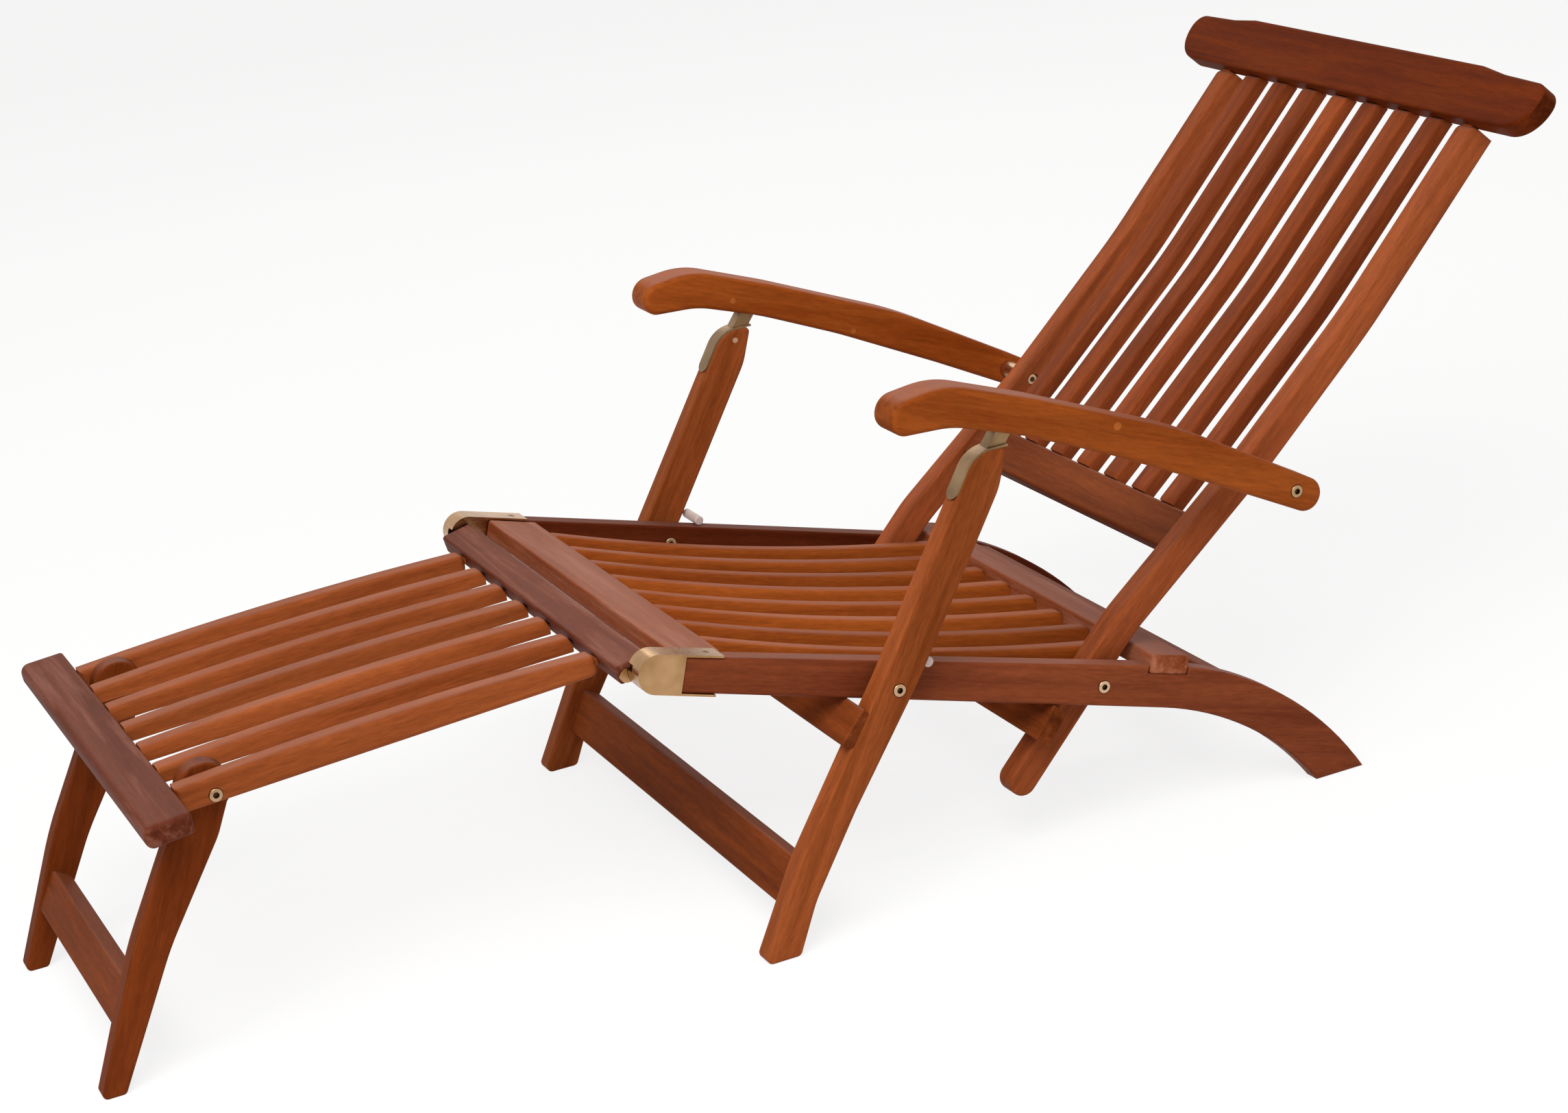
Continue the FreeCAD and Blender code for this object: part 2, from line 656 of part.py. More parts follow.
def build_front_legs():
    leg = board(LEG_OUTLINE, LEG_INNER, LEG_OUTER, LEG_EDGE)
    leg = leg.cut(bolt_hole(LEG_PIVOT, RAIL_INNER, LEG_OUTER))
    leg = leg.cut(rod(LEG_TOP_PIN, LEG_INNER - THROUGH, LEG_OUTER - LEG_PIN_SHORT, PIN_RADIUS))
    peg = rod(peg_place, LEG_INNER - PEG_REACH, LEG_INNER + TENON_LENGTH, PEG_RADIUS)
    leg = leg.cut(peg).cut(strap_screw(LEG_MIDDLE))
    bar = board(STOP_BAR_OUTLINE, -LEG_OUTER, LEG_OUTER, BOARD_EDGE)
    leg = leg.cut(bar)
    bar_line = Line(STOP_BAR_OUTLINE[2][:2], slope_between(STOP_BAR_OUTLINE[2], STOP_BAR_OUTLINE[1]))
    face = place_on(bar_line, STOP_BAR_OUTLINE[0])[1] + PLUG_PROUD
    plugs = []
    for place in STOP_PLUGS:
        x, z = bar_line.at(place_on(bar_line, place)[0], face)
        inward = vector(bar_line.sin, -bar_line.cos)
        plugs.append(Part.makeCylinder(PLUG_RADIUS, PLUG_DEPTH, vector(x, z, LEG_MIDDLE), inward))
    for plug in both_sides(plugs):
        bar = bar.cut(plug)
    stretcher = board(LEG_STRETCHER_OUTLINE, -LEG_INNER, LEG_INNER)
    peg = round_rims(peg, (LEG_INNER - PEG_REACH,), PEG_ROUND)
    keep("front_leg_left", mirrored(leg))
    keep("front_leg_right", leg)
    keep("leg_stop_bar", bar)
    keep("leg_stretcher", stretcher)
    keep("stop_bar_plugs", both_sides(plugs))
    keep("rail_pegs", both_sides([peg]))


build_front_legs()
build_straps()


# Arms

groove_line = Line(TONGUE_HEAD, slope_between(GROOVE_FRONT, GROOVE_REAR))


def build_arms():
    front = place_on(groove_line, GROOVE_FRONT)[0] - GROOVE_END
    rear = place_on(groove_line, GROOVE_REAR)[0] + GROOVE_END
    low = LEG_MIDDLE - GROOVE_WIDTH / 2
    high = LEG_MIDDLE + GROOVE_WIDTH / 2
    mouth, roof = (-GROOVE_DEPTH, -GROOVE_DEPTH), (GROOVE_ROOF, GROOVE_ROOF)
    groove = strip(groove_line, front, rear, mouth, roof, low, high)
    arm = board(ARM_OUTLINE, ARM_INNER, ARM_OUTER, ARM_EDGE)
    arm = arm.cut(groove)
    arm = arm.cut(bolt_hole(ARM_PIVOT, STILE_INNER, ARM_OUTER))
    pins = []
    for place in (GROOVE_FRONT, GROOVE_REAR):
        pins.append(rod(place, ARM_INNER, ARM_OUTER - GROOVE_PIN_SHORT, PIN_RADIUS))
    pins.append(rod(ARM_PLUG, ARM_OUTER - PLUG_DEPTH, ARM_OUTER, PLUG_RADIUS))
    arm = cut_all(arm, pins)
    keep("arm_right", arm)
    keep("arm_left", mirrored(arm))
    keep("arm_pins_right", pins)
    keep("arm_pins_left", [mirrored(pin) for pin in pins])


build_arms()


# Back

head_line = Line(HEAD_ORIGIN, HEAD_SLOPE)
cross_line = Line(BACK_PIVOT, CROSS_RAIL_SLOPE)


def tenon(line, start, end, low, y, width, thickness=TENON_THICKNESS):
    """Short bar between two places along a line; low is its underside above the line."""
    high = low + thickness
    return strip(line, start, end, (low, low), (high, high), y - width / 2, y + width / 2)


def head_tenon(y, width):
    """Tenon from a stile or slat into the underside of the head rail."""
    return tenon(head_line, HEAD_LOW - HEAD_TENON_REACH, HEAD_LOW + TENON_LENGTH, HEAD_TENON_LOW, y, width)


def head_rail_blank():
    """Drawn flat as a side view and then stood up on the head line."""
    left = [(-y, z, radius) for y, z, radius in HEAD_HALF_OUTLINE][::-1]
    face = outline_face(HEAD_HALF_OUTLINE + left)
    flat = extruded(face, -HEAD_FRONT, HEAD_THICKNESS - HEAD_FRONT)
    flat = round_rims(flat, (-HEAD_FRONT, HEAD_THICKNESS - HEAD_FRONT), HEAD_EDGE)
    flat.rotate(FreeCAD.Vector(0, 0, 0), FreeCAD.Vector(0, 0, 1), -90)
    flat.rotate(FreeCAD.Vector(0, 0, 0), FreeCAD.Vector(0, 1, 0), 90 - HEAD_SLOPE)
    flat.translate(vector(HEAD_ORIGIN[0], HEAD_ORIGIN[1]))
    return flat


def stile_path():
    """Centreline of the back's side profile, ended under the head rail."""
    end = head_line.at(HEAD_LOW - REST_GAP, 0)
    return [tuple(place) for place in STILE_LINE[:-1]] + [end + (STILE_TOP_ROUND,)]


def build_stiles(head_rail):
    half = STILE_DEPTH / 2
    stile = board(bar_outline(stile_path(), half, half), STILE_INNER, STILE_OUTER)
    stile = round_rims(stile, (STILE_INNER, STILE_OUTER), STILE_EDGE)
    middle = (STILE_INNER + STILE_OUTER) / 2
    end = head_tenon(middle, STILE_TENON_WIDTH)
    stile = stile.fuse(end).removeSplitter()
    stile = stile.cut(bolt_hole(BACK_PIVOT, STILE_INNER, RAIL_OUTER))
    stile = stile.cut(bolt_hole(ARM_PIVOT, STILE_INNER + NUT_RECESS, ARM_OUTER))
    seat = board(BACK_STOP_SEAT, -STILE_OUTER, STILE_OUTER)
    bar = board(BACK_STOP_OUTLINE, -RAIL_OUTER, RAIL_OUTER, BACK_STOP_EDGE).fuse(seat).removeSplitter()
    stile = stile.cut(bar)
    keep("back_stile_left", mirrored(stile))
    keep("back_stile_right", stile)
    keep("back_stop_bar", bar)
    return cut_all(head_rail, both_sides([end]))


def bar_on(line, front, rear, low, high, half_width, edge=0.0):
    """Straight cross bar with eased corners, symmetric across the chair."""
    places = [(front, high, CORNER), (rear, high, CORNER), (rear, low, CORNER), (front, low, CORNER)]
    return board(line.corners(places), -half_width, half_width, edge)


def across(index, count, reach):
    """Place of a slat across the chair; the outermost slats lie at the reach on each side."""
    return reach * (2 * index / (count - 1) - 1)


def back_slat_path():
    """Part of the stile's centreline between the lower cross rail and the head rail."""
    start = cross_line.at(CROSS_RAIL_HIGH, BACK_SLAT_SHIFT)
    end = head_line.at(HEAD_LOW - REST_GAP, BACK_SLAT_SHIFT)
    inner = shifted(STILE_LINE, BACK_SLAT_SHIFT)[2:-1]
    return [start + (0,)] + inner + [end + (BACK_SLAT_TOP_ROUND,)]


def build_back():
    head_rail = build_stiles(head_rail_blank())
    low, high = CROSS_RAIL_BACK, CROSS_RAIL_FRONT
    cross = bar_on(cross_line, CROSS_RAIL_LOW, CROSS_RAIL_HIGH, low, high, STILE_INNER)
    half = BACK_SLAT_THICKNESS / 2
    outline = bar_outline(back_slat_path(), half, half)
    for index in range(BACK_SLAT_COUNT):
        y = across(index, BACK_SLAT_COUNT, BACK_SLAT_REACH)
        blank = board(outline, y - BACK_SLAT_WIDTH / 2, y + BACK_SLAT_WIDTH / 2, LEG_EDGE)
        top = head_tenon(y, BACK_SLAT_TENON_WIDTH)
        start, end = CROSS_RAIL_HIGH - TENON_LENGTH, CROSS_RAIL_HIGH + TENON_ROOT
        low = tenon(cross_line, start, end, 0, y, BACK_SLAT_TENON_WIDTH)
        head_rail = head_rail.cut(top)
        cross = cross.cut(low)
        keep("back_slat_%d" % (index + 1), blank.fuse([top, low]).removeSplitter())
    keep("head_rail", head_rail)
    keep("back_cross_rail", cross)
    bolt = barrel_bolt(ARM_PIVOT, STILE_INNER + NUT_RECESS, ARM_OUTER + BOLT_PROUD)
    bore = BOLT_RADIUS + RUNNING_CLEARANCE
    spacer = tube(ARM_PIVOT, STILE_OUTER, ARM_INNER - SPACER_PLAY, SPACER_RADIUS, bore)
    keep("arm_bolts", both_sides([bolt]))
    keep("arm_spacers", both_sides([spacer]))


build_back()


# Seat and footrest

def bowed(front, rear, sag, depth, rounds, belly=0.0):
    """Outline of a slat bowed by a sag, negative for a crown; a belly makes its middle deeper."""
    length = math.hypot(rear[0] - front[0], rear[1] - front[1])
    line = Line(front, slope_between(front, rear))
    radius = length ** 2 / (8 * abs(sag)) * BOW_SHARE
    apex = -2 * sag
    places = [
        (0, 0, rounds[0]), (length / 2, apex, radius), (length, 0, rounds[1]),
        (length, -depth, SLAT_BOTTOM_ROUND), (length / 2, apex - depth - 2 * belly, radius),
        (0, -depth, SLAT_BOTTOM_ROUND),
    ]
    return line.corners(places)


def slat(corners, y, width, depth):
    """Slat with well rounded top edges; its first three corners are its top."""
    low, high = y - width / 2, y + width / 2
    solid = board(corners, low, high)
    line = Line(corners[0][:2], slope_between(corners[0], corners[2]))
    apex = place_on(line, corners[1][:2])[1]
    chord = place_on(line, corners[2][:2])[0]
    rims = []
    for edge in solid.Edges:
        if not (in_plane(edge, low) or in_plane(edge, high)):
            continue
        along, above = place_on(line, (edge.CenterOfMass.x, edge.CenterOfMass.z))
        curve = 2 * apex * (along / chord) * (1 - along / chord)
        if above > curve - depth / 2 and edge.Length > CORNER:
            rims.append(edge)
    return solid.makeFillet(SLAT_TOP_ROUND, rims)


def build_seat():
    low, high = SEAT_RAIL_BOTTOM, SEAT_RAIL_TOP
    front_rail = bar_on(rail_line, SEAT_RAIL_FRONT, SEAT_RAIL_REAR, low, high, SEAT_RAIL_HALF, BOARD_EDGE)
    low, high = CROSSBAR_LOW, CROSSBAR_HIGH
    crossbar = bar_on(rail_line, CROSSBAR_FRONT, CROSSBAR_REAR, low, high, RAIL_OUTER, BOARD_EDGE)
    start = rail_line.at(SEAT_RAIL_REAR, SEAT_SLAT_FRONT_TOP)
    end = rail_line.at(CROSSBAR_FRONT, SEAT_SLAT_REAR_TOP)
    outline = bowed(start, end, SEAT_SLAT_SAG, SEAT_SLAT_DEPTH, SEAT_SLAT_END_ROUNDS)
    width = SEAT_SLAT_WIDTH - SLAT_TENON_INSET
    for index in range(SEAT_SLAT_COUNT):
        y = across(index, SEAT_SLAT_COUNT, SEAT_SLAT_REACH)
        blank = slat(outline, y, SEAT_SLAT_WIDTH, SEAT_SLAT_DEPTH)
        start, end = SEAT_RAIL_REAR - TENON_LENGTH, SEAT_RAIL_REAR + TENON_ROOT
        front = tenon(rail_line, start, end, SEAT_TENON_FRONT, y, width)
        start, end = CROSSBAR_FRONT - TENON_ROOT, CROSSBAR_FRONT + TENON_LENGTH
        rear = tenon(rail_line, start, end, SEAT_TENON_REAR, y, width)
        front_rail = front_rail.cut(front)
        crossbar = crossbar.cut(rear)
        keep("seat_slat_%d" % (index + 1), blank.fuse([front, rear]).removeSplitter())
    dowel_end = RAIL_INNER + TENON_LENGTH - DOWEL_END_PLAY
    dowel = rod(seat_pivot, SEAT_RAIL_HALF - TENON_LENGTH, dowel_end, BOLT_RADIUS)
    dowels = both_sides([dowel])
    keep("seat_front_rail", cut_all(front_rail, dowels))
    keep("seat_crossbar", crossbar)
    keep("seat_hinge_dowels", dowels)


foot_line = Line(FOOT_SLAT_REAR, slope_between(FOOT_SLAT_FRONT, FOOT_SLAT_REAR))
foot_front_line = Line(FOOT_SLAT_FRONT, slope_between(FOOT_SLAT_FRONT, FOOT_SLAT_REAR))


def foot_leg_hole():
    return bolt_hole(FOOT_LEG_PIVOT, FOOT_LEG_INNER, SIDE_SLAT_OUTER)


def build_footrest():
    """Five thin slats between two deep side slats that carry the footrest's legs."""
    inner_rail = board(FOOT_RAIL_OUTLINE, -FOOT_RAIL_HALF, FOOT_RAIL_HALF, BOARD_EDGE)
    end_outline = foot_front_line.corners(FOOT_END_OUTLINE)
    end_rail = board(end_outline, -FOOT_END_HALF, FOOT_END_HALF, FOOT_END_EDGE)
    crown, depth, belly = -FOOT_SLAT_CROWN, FOOT_SLAT_DEPTH, FOOT_SLAT_BELLY
    thin = bowed(FOOT_SLAT_FRONT, FOOT_SLAT_REAR, crown, depth, FOOT_SLAT_END_ROUNDS, belly)
    low_rear = foot_line.at(0, -SIDE_SLAT_REAR_DEPTH) + (SIDE_SLAT_END_ROUND,)
    low_front = foot_front_line.at(0, -SIDE_SLAT_FRONT_DEPTH) + (SLAT_BOTTOM_ROUND,)
    deep = thin[:3] + [low_rear, low_front]
    foot_end = place_on(foot_line, FOOT_SLAT_FRONT)[0]
    width = FOOT_SLAT_WIDTH - SLAT_TENON_INSET
    for index in range(FOOT_SLAT_COUNT):
        y = across(index, FOOT_SLAT_COUNT, FOOT_SLAT_REACH)
        if index in (0, FOOT_SLAT_COUNT - 1):
            blank = slat(deep, y, FOOT_SLAT_WIDTH, FOOT_SLAT_DEPTH)
            blank = blank.cut(foot_leg_hole() if y > 0 else mirrored(foot_leg_hole()))
        else:
            blank = slat(thin, y, FOOT_SLAT_WIDTH, FOOT_SLAT_DEPTH)
        low, thick = FOOT_TENON_LOW, FOOT_TENON_THICKNESS
        rear = tenon(foot_line, -TENON_ROOT, TENON_LENGTH, low, y, width, thick)
        front = tenon(foot_line, foot_end - TENON_LENGTH, foot_end + TENON_ROOT, low, y, width, thick)
        inner_rail = inner_rail.cut(rear)
        end_rail = end_rail.cut(front)
        keep("footrest_slat_%d" % (index + 1), blank.fuse([front, rear]).removeSplitter())
    keep("footrest_inner_rail", inner_rail)
    keep("foot_end_rail", end_rail)
    bolt = barrel_bolt(FOOT_LEG_PIVOT, FOOT_LEG_INNER - BOLT_PROUD, SIDE_SLAT_OUTER + BOLT_PROUD)
    keep("footrest_leg_bolts", both_sides([bolt]))


def build_lugs():
    """Brass plates on the ends of the inner rail, turning on the hinge pins."""
    lug_line = Line(LUG_START, slope_between(LUG_START, FOOTREST_PIVOT))
    reach = place_on(lug_line, FOOTREST_PIVOT)[0]
    r = LUG_RADIUS
    places = [(-r, r, r), (reach + r, r, r), (reach + r, -r, r), (-r, -r, r)]
    lug = board(lug_line.corners(places), FOOT_RAIL_HALF, FOOT_RAIL_HALF + LUG_THICKNESS)
    bore = HINGE_PIN_RADIUS + RUNNING_CLEARANCE
    lug = lug.cut(rod(FOOTREST_PIVOT, FOOT_RAIL_HALF - THROUGH, RAIL_INNER, bore))
    keep("footrest_hinge_lugs", both_sides([lug]))


def build_footrest_legs():
    """Legs with a round head; the outline alone gives everything below it."""
    circle = Part.makeCircle(FOOT_DISC_RADIUS, vector(*FOOT_DISC_CENTRE), FreeCAD.Vector(0, -1, 0))
    disc = Part.Face(Part.Wire(circle))
    face = disc.fuse(outline_face(FOOT_LEG_OUTLINE)).removeSplitter().Faces[0]
    leg = extruded(face, FOOT_LEG_INNER, FOOT_LEG_OUTER)
    leg = round_rims(leg, (FOOT_LEG_INNER, FOOT_LEG_OUTER), BOARD_EDGE)
    leg = leg.cut(foot_leg_hole())
    keep("footrest_leg_left", mirrored(leg))
    keep("footrest_leg_right", leg)
    keep("footrest_stretcher", board(FOOT_STRETCHER_OUTLINE, -FOOT_LEG_INNER, FOOT_LEG_INNER))


build_seat()
build_footrest()
build_lugs()
build_footrest_legs()

# Shift to the middle of the chair and write one file for each piece
os.makedirs("parts", exist_ok=True)
whole = Part.makeCompound([solid for solids in pieces.values() for solid in solids])
box = whole.optimalBoundingBox(False)
middle = (box.XMin + box.XMax) / 2
print("middle %.3f  length %.1f  width %.1f  height %.1f" % (middle, box.XLength, box.YLength, box.ZLength))
for name, solids in pieces.items():
    for solid in solids:
        solid.translate(FreeCAD.Vector(-middle, 0, 0))
    shape = solids[0] if len(solids) == 1 else Part.makeCompound(solids)
    shape.exportStep("parts/" + name + ".step")
    print(name, len(solids), "valid" if shape.isValid() else "INVALID", round(shape.Volume))
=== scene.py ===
import bpy
import math
from mathutils import Matrix, Vector


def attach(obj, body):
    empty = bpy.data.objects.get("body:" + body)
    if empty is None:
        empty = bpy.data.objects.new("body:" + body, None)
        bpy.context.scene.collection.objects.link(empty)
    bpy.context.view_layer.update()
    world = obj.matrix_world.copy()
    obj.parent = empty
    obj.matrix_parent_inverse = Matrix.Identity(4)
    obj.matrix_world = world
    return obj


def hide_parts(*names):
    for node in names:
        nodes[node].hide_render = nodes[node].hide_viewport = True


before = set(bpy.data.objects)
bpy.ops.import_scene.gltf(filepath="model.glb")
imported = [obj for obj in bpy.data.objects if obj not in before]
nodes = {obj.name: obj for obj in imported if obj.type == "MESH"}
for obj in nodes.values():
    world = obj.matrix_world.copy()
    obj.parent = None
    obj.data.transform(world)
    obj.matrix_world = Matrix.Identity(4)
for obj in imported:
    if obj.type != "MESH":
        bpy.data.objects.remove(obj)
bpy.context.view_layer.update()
print("frame loaded:", len(nodes), "nodes")

mm = 0.001
chairMiddle = 165.246  # side-view places are counted from the front leg's foot, mm
railSlope = -16.35  # the side rails fall to the rear, degrees
railMiddle, legMiddle = 254, 286.15  # across the chair from its middle, mm


def place(x, z, y=0.0):
    return Vector(((x - chairMiddle) * mm, y * mm, z * mm))


def along(start, slope, distance, above):  # a place on a sloping line of the side view, mm
    c, s = math.cos(math.radians(slope)), math.sin(math.radians(slope))
    return start[0] + distance * c - above * s, start[1] + distance * s + above * c


def hexColour(text):
    channels = [int(text[i:i + 2], 16) / 255 for i in (1, 3, 5)]
    return (*[c / 12.92 if c <= 0.04045 else ((c + 0.055) / 1.055) ** 2.4 for c in channels], 1.0)


def addNode(tree, kind, settings=None, links=None):  # settings are properties or socket values
    node = tree.nodes.new(kind)
    for name, value in (settings or {}).items():
        if isinstance(name, str) and hasattr(node, name):
            setattr(node, name, value)
        else:
            node.inputs[name].default_value = value
    for name, socket in (links or {}).items():
        tree.links.new(socket, node.inputs[name])
    return node


def newMaterial(name):
    material = bpy.data.materials.new(name)
    material.use_nodes = True
    material.node_tree.nodes.clear()
    return material, material.node_tree


def finishMaterial(tree, shader):
    addNode(tree, "ShaderNodeOutputMaterial", links={"Surface": shader.outputs[0]})


# How fast the grain changes along and across a board, per metre: streaks 10 mm apart, broad
# figure of 50 mm, and pores drawn 2 mm wide so that they show
grainScale = {"streak": (5, 95, 95), "figure": (2.5, 20, 20), "pore": (70, 480, 480)}
boardShift = 37.0  # keeps the grain of one board away from the next
noiseBand = {"From Min": 0.3, "From Max": 0.7}  # where most values of a noise lie
grainBand = (0.36, 0.64)  # where the grain reaches its darkest and lightest tone


def oiledHardwood(look):
    # Plantation hardwood sawn, planed and oiled: close straight grain with fine dark pores and a soft satin
    # sheen.
    # Faces that look up get a painted sheen, lighter and pinker as the top light would show; sawn ends are
    # darker or paler
    material, tree = newMaterial(look["name"])
    turn = (0, 0, math.radians(-90)) if look["slope"] == "across" else (0, math.radians(look["slope"]), 0)
    spot = addNode(tree, "ShaderNodeTexCoord")
    board = addNode(tree, "ShaderNodeMapping", {"vector_type": "POINT", "Rotation": turn},
                    {"Vector": spot.outputs["Object"]})
    facing = addNode(tree, "ShaderNodeMapping", {"vector_type": "VECTOR", "Rotation": turn},
                     {"Vector": spot.outputs["Normal"]})
    tone = addNode(tree, "ShaderNodeObjectInfo").outputs["Random"]
    if look["row"]:  # slats made in one mesh carry their own tone
        tone = addNode(tree, "ShaderNodeAttribute", {"attribute_name": "boardTone"}).outputs["Fac"]
    shift = addNode(tree, "ShaderNodeMath", {"operation": "MULTIPLY", 1: boardShift}, {0: tone})
    grain = addNode(tree, "ShaderNodeVectorMath", {"operation": "MULTIPLY", 1: grainScale["streak"]},
                    {0: board.outputs[0]})
    figure = addNode(tree, "ShaderNodeVectorMath", {"operation": "MULTIPLY", 1: grainScale["figure"]},
                     {0: board.outputs[0]})
    pores = addNode(tree, "ShaderNodeVectorMath", {"operation": "MULTIPLY", 1: grainScale["pore"]},
                    {0: board.outputs[0]})
    streak = addNode(tree, "ShaderNodeTexNoise",
                     {"noise_dimensions": "4D", "Scale": 1.0, "Detail": 5.0, "Roughness": 0.6,
                      "Distortion": 0.5},
                     {"Vector": grain.outputs[0], "W": shift.outputs[0]})
    cloud = addNode(tree, "ShaderNodeTexNoise", {"noise_dimensions": "4D", "Scale": 1.0, "Detail": 3.0},
                    {"Vector": figure.outputs[0], "W": shift.outputs[0]})
    pore = addNode(tree, "ShaderNodeTexNoise",
                   {"noise_dimensions": "4D", "Scale": 1.0, "Detail": 3.0, "Roughness": 0.65},
                   {"Vector": pores.outputs[0], "W": shift.outputs[0]})
    part = addNode(tree, "ShaderNodeMath", {"operation": "MULTIPLY", 1: 0.5}, {0: streak.outputs["Fac"]})
    both = addNode(tree, "ShaderNodeMath", {"operation": "MULTIPLY_ADD", 1: 0.5},
                   {0: cloud.outputs["Fac"], 2: part.outputs[0]})
    ramp = addNode(tree, "ShaderNodeValToRGB", links={"Fac": both.outputs[0]})
    ramp.color_ramp.elements[0].position, ramp.color_ramp.elements[1].position = grainBand
    ramp.color_ramp.elements[0].color = hexColour(look["dark"])
    ramp.color_ramp.elements[1].color = hexColour(look["light"])
    value = addNode(tree, "ShaderNodeMapRange", {"To Min": 1 - look["vary"], "To Max": 1 + look["vary"]},
                    {"Value": tone})
    fine = addNode(tree, "ShaderNodeMapRange", {**noiseBand, "To Min": 0.79, "To Max": 1.12},
                   {"Value": pore.outputs["Fac"]})
    level = addNode(tree, "ShaderNodeMath", {"operation": "MULTIPLY"},
                    {0: value.outputs[0], 1: fine.outputs[0]})
    toned = addNode(tree, "ShaderNodeHueSaturation",
                    links={"Value": level.outputs[0], "Color": ramp.outputs[0]})
    cut = addNode(tree, "ShaderNodeSeparateXYZ", links={"Vector": facing.outputs[0]})
    ends = addNode(tree, "ShaderNodeMath", {"operation": "ABSOLUTE"}, {0: cut.outputs["X"]})
    endGrain = addNode(tree, "ShaderNodeMapRange", {"From Min": 0.8, "From Max": 0.95, "To Max": 0.85},
                       {"Value": ends.outputs[0]})
    mottle = addNode(tree, "ShaderNodeMapRange",
                     {"From Min": 0.35, "From Max": 0.65, "To Min": look["end"] * 0.82,
                      "To Max": look["end"] * 1.18},
                     {"Value": streak.outputs["Fac"]})
    sawn = addNode(tree, "ShaderNodeVectorMath", {"operation": "SCALE"},
                   {0: toned.outputs[0], "Scale": mottle.outputs[0]})
    planed = addNode(tree, "ShaderNodeMix", {"data_type": "RGBA"},
                     {0: endGrain.outputs[0], 6: toned.outputs[0], 7: sawn.outputs[0]})
    wear = addNode(tree, "ShaderNodeMapRange",
                   {"From Min": 0.5, "From Max": 0.72, "To Max": look["streaks"]},
                   {"Value": streak.outputs["Fac"]})
    worn = addNode(tree, "ShaderNodeMix", {"data_type": "RGBA", 7: hexColour(look["wearAndSheenColour"])},
                   {0: wear.outputs[0], 6: planed.outputs[2]})
    # painted sheen: faces that look up are mixed towards the pale pink colour, as the top light would show on
    # them
    upright = addNode(tree, "ShaderNodeSeparateXYZ", links={"Vector": spot.outputs["Normal"]})
    skyward = addNode(tree, "ShaderNodeMapRange", {"From Min": 0.72, "From Max": 0.98},
                      {"Value": upright.outputs["Z"]})
    patchy = addNode(tree, "ShaderNodeMapRange",
                     {**noiseBand, "To Min": look["paintedSheen"] * 0.65, "To Max": look["paintedSheen"] * 1.35},
                     {"Value": cloud.outputs["Fac"]})
    paintedSheen = addNode(tree, "ShaderNodeMath", {"operation": "MULTIPLY"},
                   {0: skyward.outputs[0], 1: patchy.outputs[0]})
    colour = addNode(tree, "ShaderNodeMix", {"data_type": "RGBA", 7: hexColour(look["wearAndSheenColour"])},
                     {0: paintedSheen.outputs[0], 6: worn.outputs[2]})
    sheen = addNode(tree, "ShaderNodeMapRange",
                    {**noiseBand, "To Min": look["sheen"] - 0.07, "To Max": look["sheen"] + 0.09},
                    {"Value": streak.outputs["Fac"]})
    bump = addNode(tree, "ShaderNodeBump", {"Strength": 0.15, "Distance": 0.0006},
                   {"Height": streak.outputs["Fac"]})
    shader = addNode(tree, "ShaderNodeBsdfPrincipled", {"IOR": 1.5, "Specular IOR Level": look["gloss"]},
                     {"Base Color": colour.outputs[2], "Roughness": sheen.outputs[0],
                      "Normal": bump.outputs[0]})
    finishMaterial(tree, shader)
    return material


socketReach = 2.95  # just past the corners of the bolts' hexagon sockets, mm
# colour of the painted shade inside the bolts' sockets
socketShade = "#3f2c1b"
tarnishBand = (0.36, 0.62)  # where the brass is at its most and least tarnished


def rolledBrass(look):
    # Sheet brass, bent and linished, left unlacquered: a warm tan with duller olive patches of tarnish
    material, tree = newMaterial(look["name"])
    spot = addNode(tree, "ShaderNodeTexCoord")
    # patches 35 mm across
    patch = addNode(tree, "ShaderNodeTexNoise", {"Scale": 28.0, "Detail": 3.0},
                    {"Vector": spot.outputs["Object"]})
    # linishing lines 1 mm apart
    brush = addNode(tree, "ShaderNodeVectorMath", {"operation": "MULTIPLY", 1: (60, 900, 900)},
                    {0: spot.outputs["Object"]})
    lines = addNode(tree, "ShaderNodeTexNoise", {"Scale": 1.0, "Detail": 2.0}, {"Vector": brush.outputs[0]})
    ramp = addNode(tree, "ShaderNodeValToRGB", links={"Fac": patch.outputs["Fac"]})
    ramp.color_ramp.elements[0].position, ramp.color_ramp.elements[1].position = tarnishBand
    ramp.color_ramp.elements[0].color = hexColour(look["dark"])
    ramp.color_ramp.elements[1].color = hexColour(look["light"])
    colour = ramp.outputs[0]
    flat = addNode(tree, "ShaderNodeVectorMath", {"operation": "MULTIPLY", 1: (1, 0, 1)},
                   {0: spot.outputs["Object"]})
    for x, z in look["sockets"]:  # painted shade darkens the bolts' sockets
        gap = addNode(tree, "ShaderNodeVectorMath", {"operation": "DISTANCE", 1: place(x, z)},
                      {0: flat.outputs[0]})
        inside = addNode(tree, "ShaderNodeMath", {"operation": "LESS_THAN", 1: socketReach * mm},
                         {0: gap.outputs["Value"]})
        colour = addNode(tree, "ShaderNodeMix", {"data_type": "RGBA", 7: hexColour(socketShade)},
                         {0: inside.outputs[0], 6: colour}).outputs[2]
    rough = addNode(tree, "ShaderNodeMapRange",
                    {**noiseBand, "To Min": look["rough"] - 0.05, "To Max": look["rough"] + 0.06},
                    {"Value": lines.outputs["Fac"]})
    bump = addNode(tree, "ShaderNodeBump", {"Strength": 0.1, "Distance": 0.0002},
                   {"Height": lines.outputs["Fac"]})
    shader = addNode(tree, "ShaderNodeBsdfPrincipled", {"Metallic": 1.0},
                     {"Base Color": colour, "Roughness": rough.outputs[0], "Normal": bump.outputs[0]})
    finishMaterial(tree, shader)
    return material


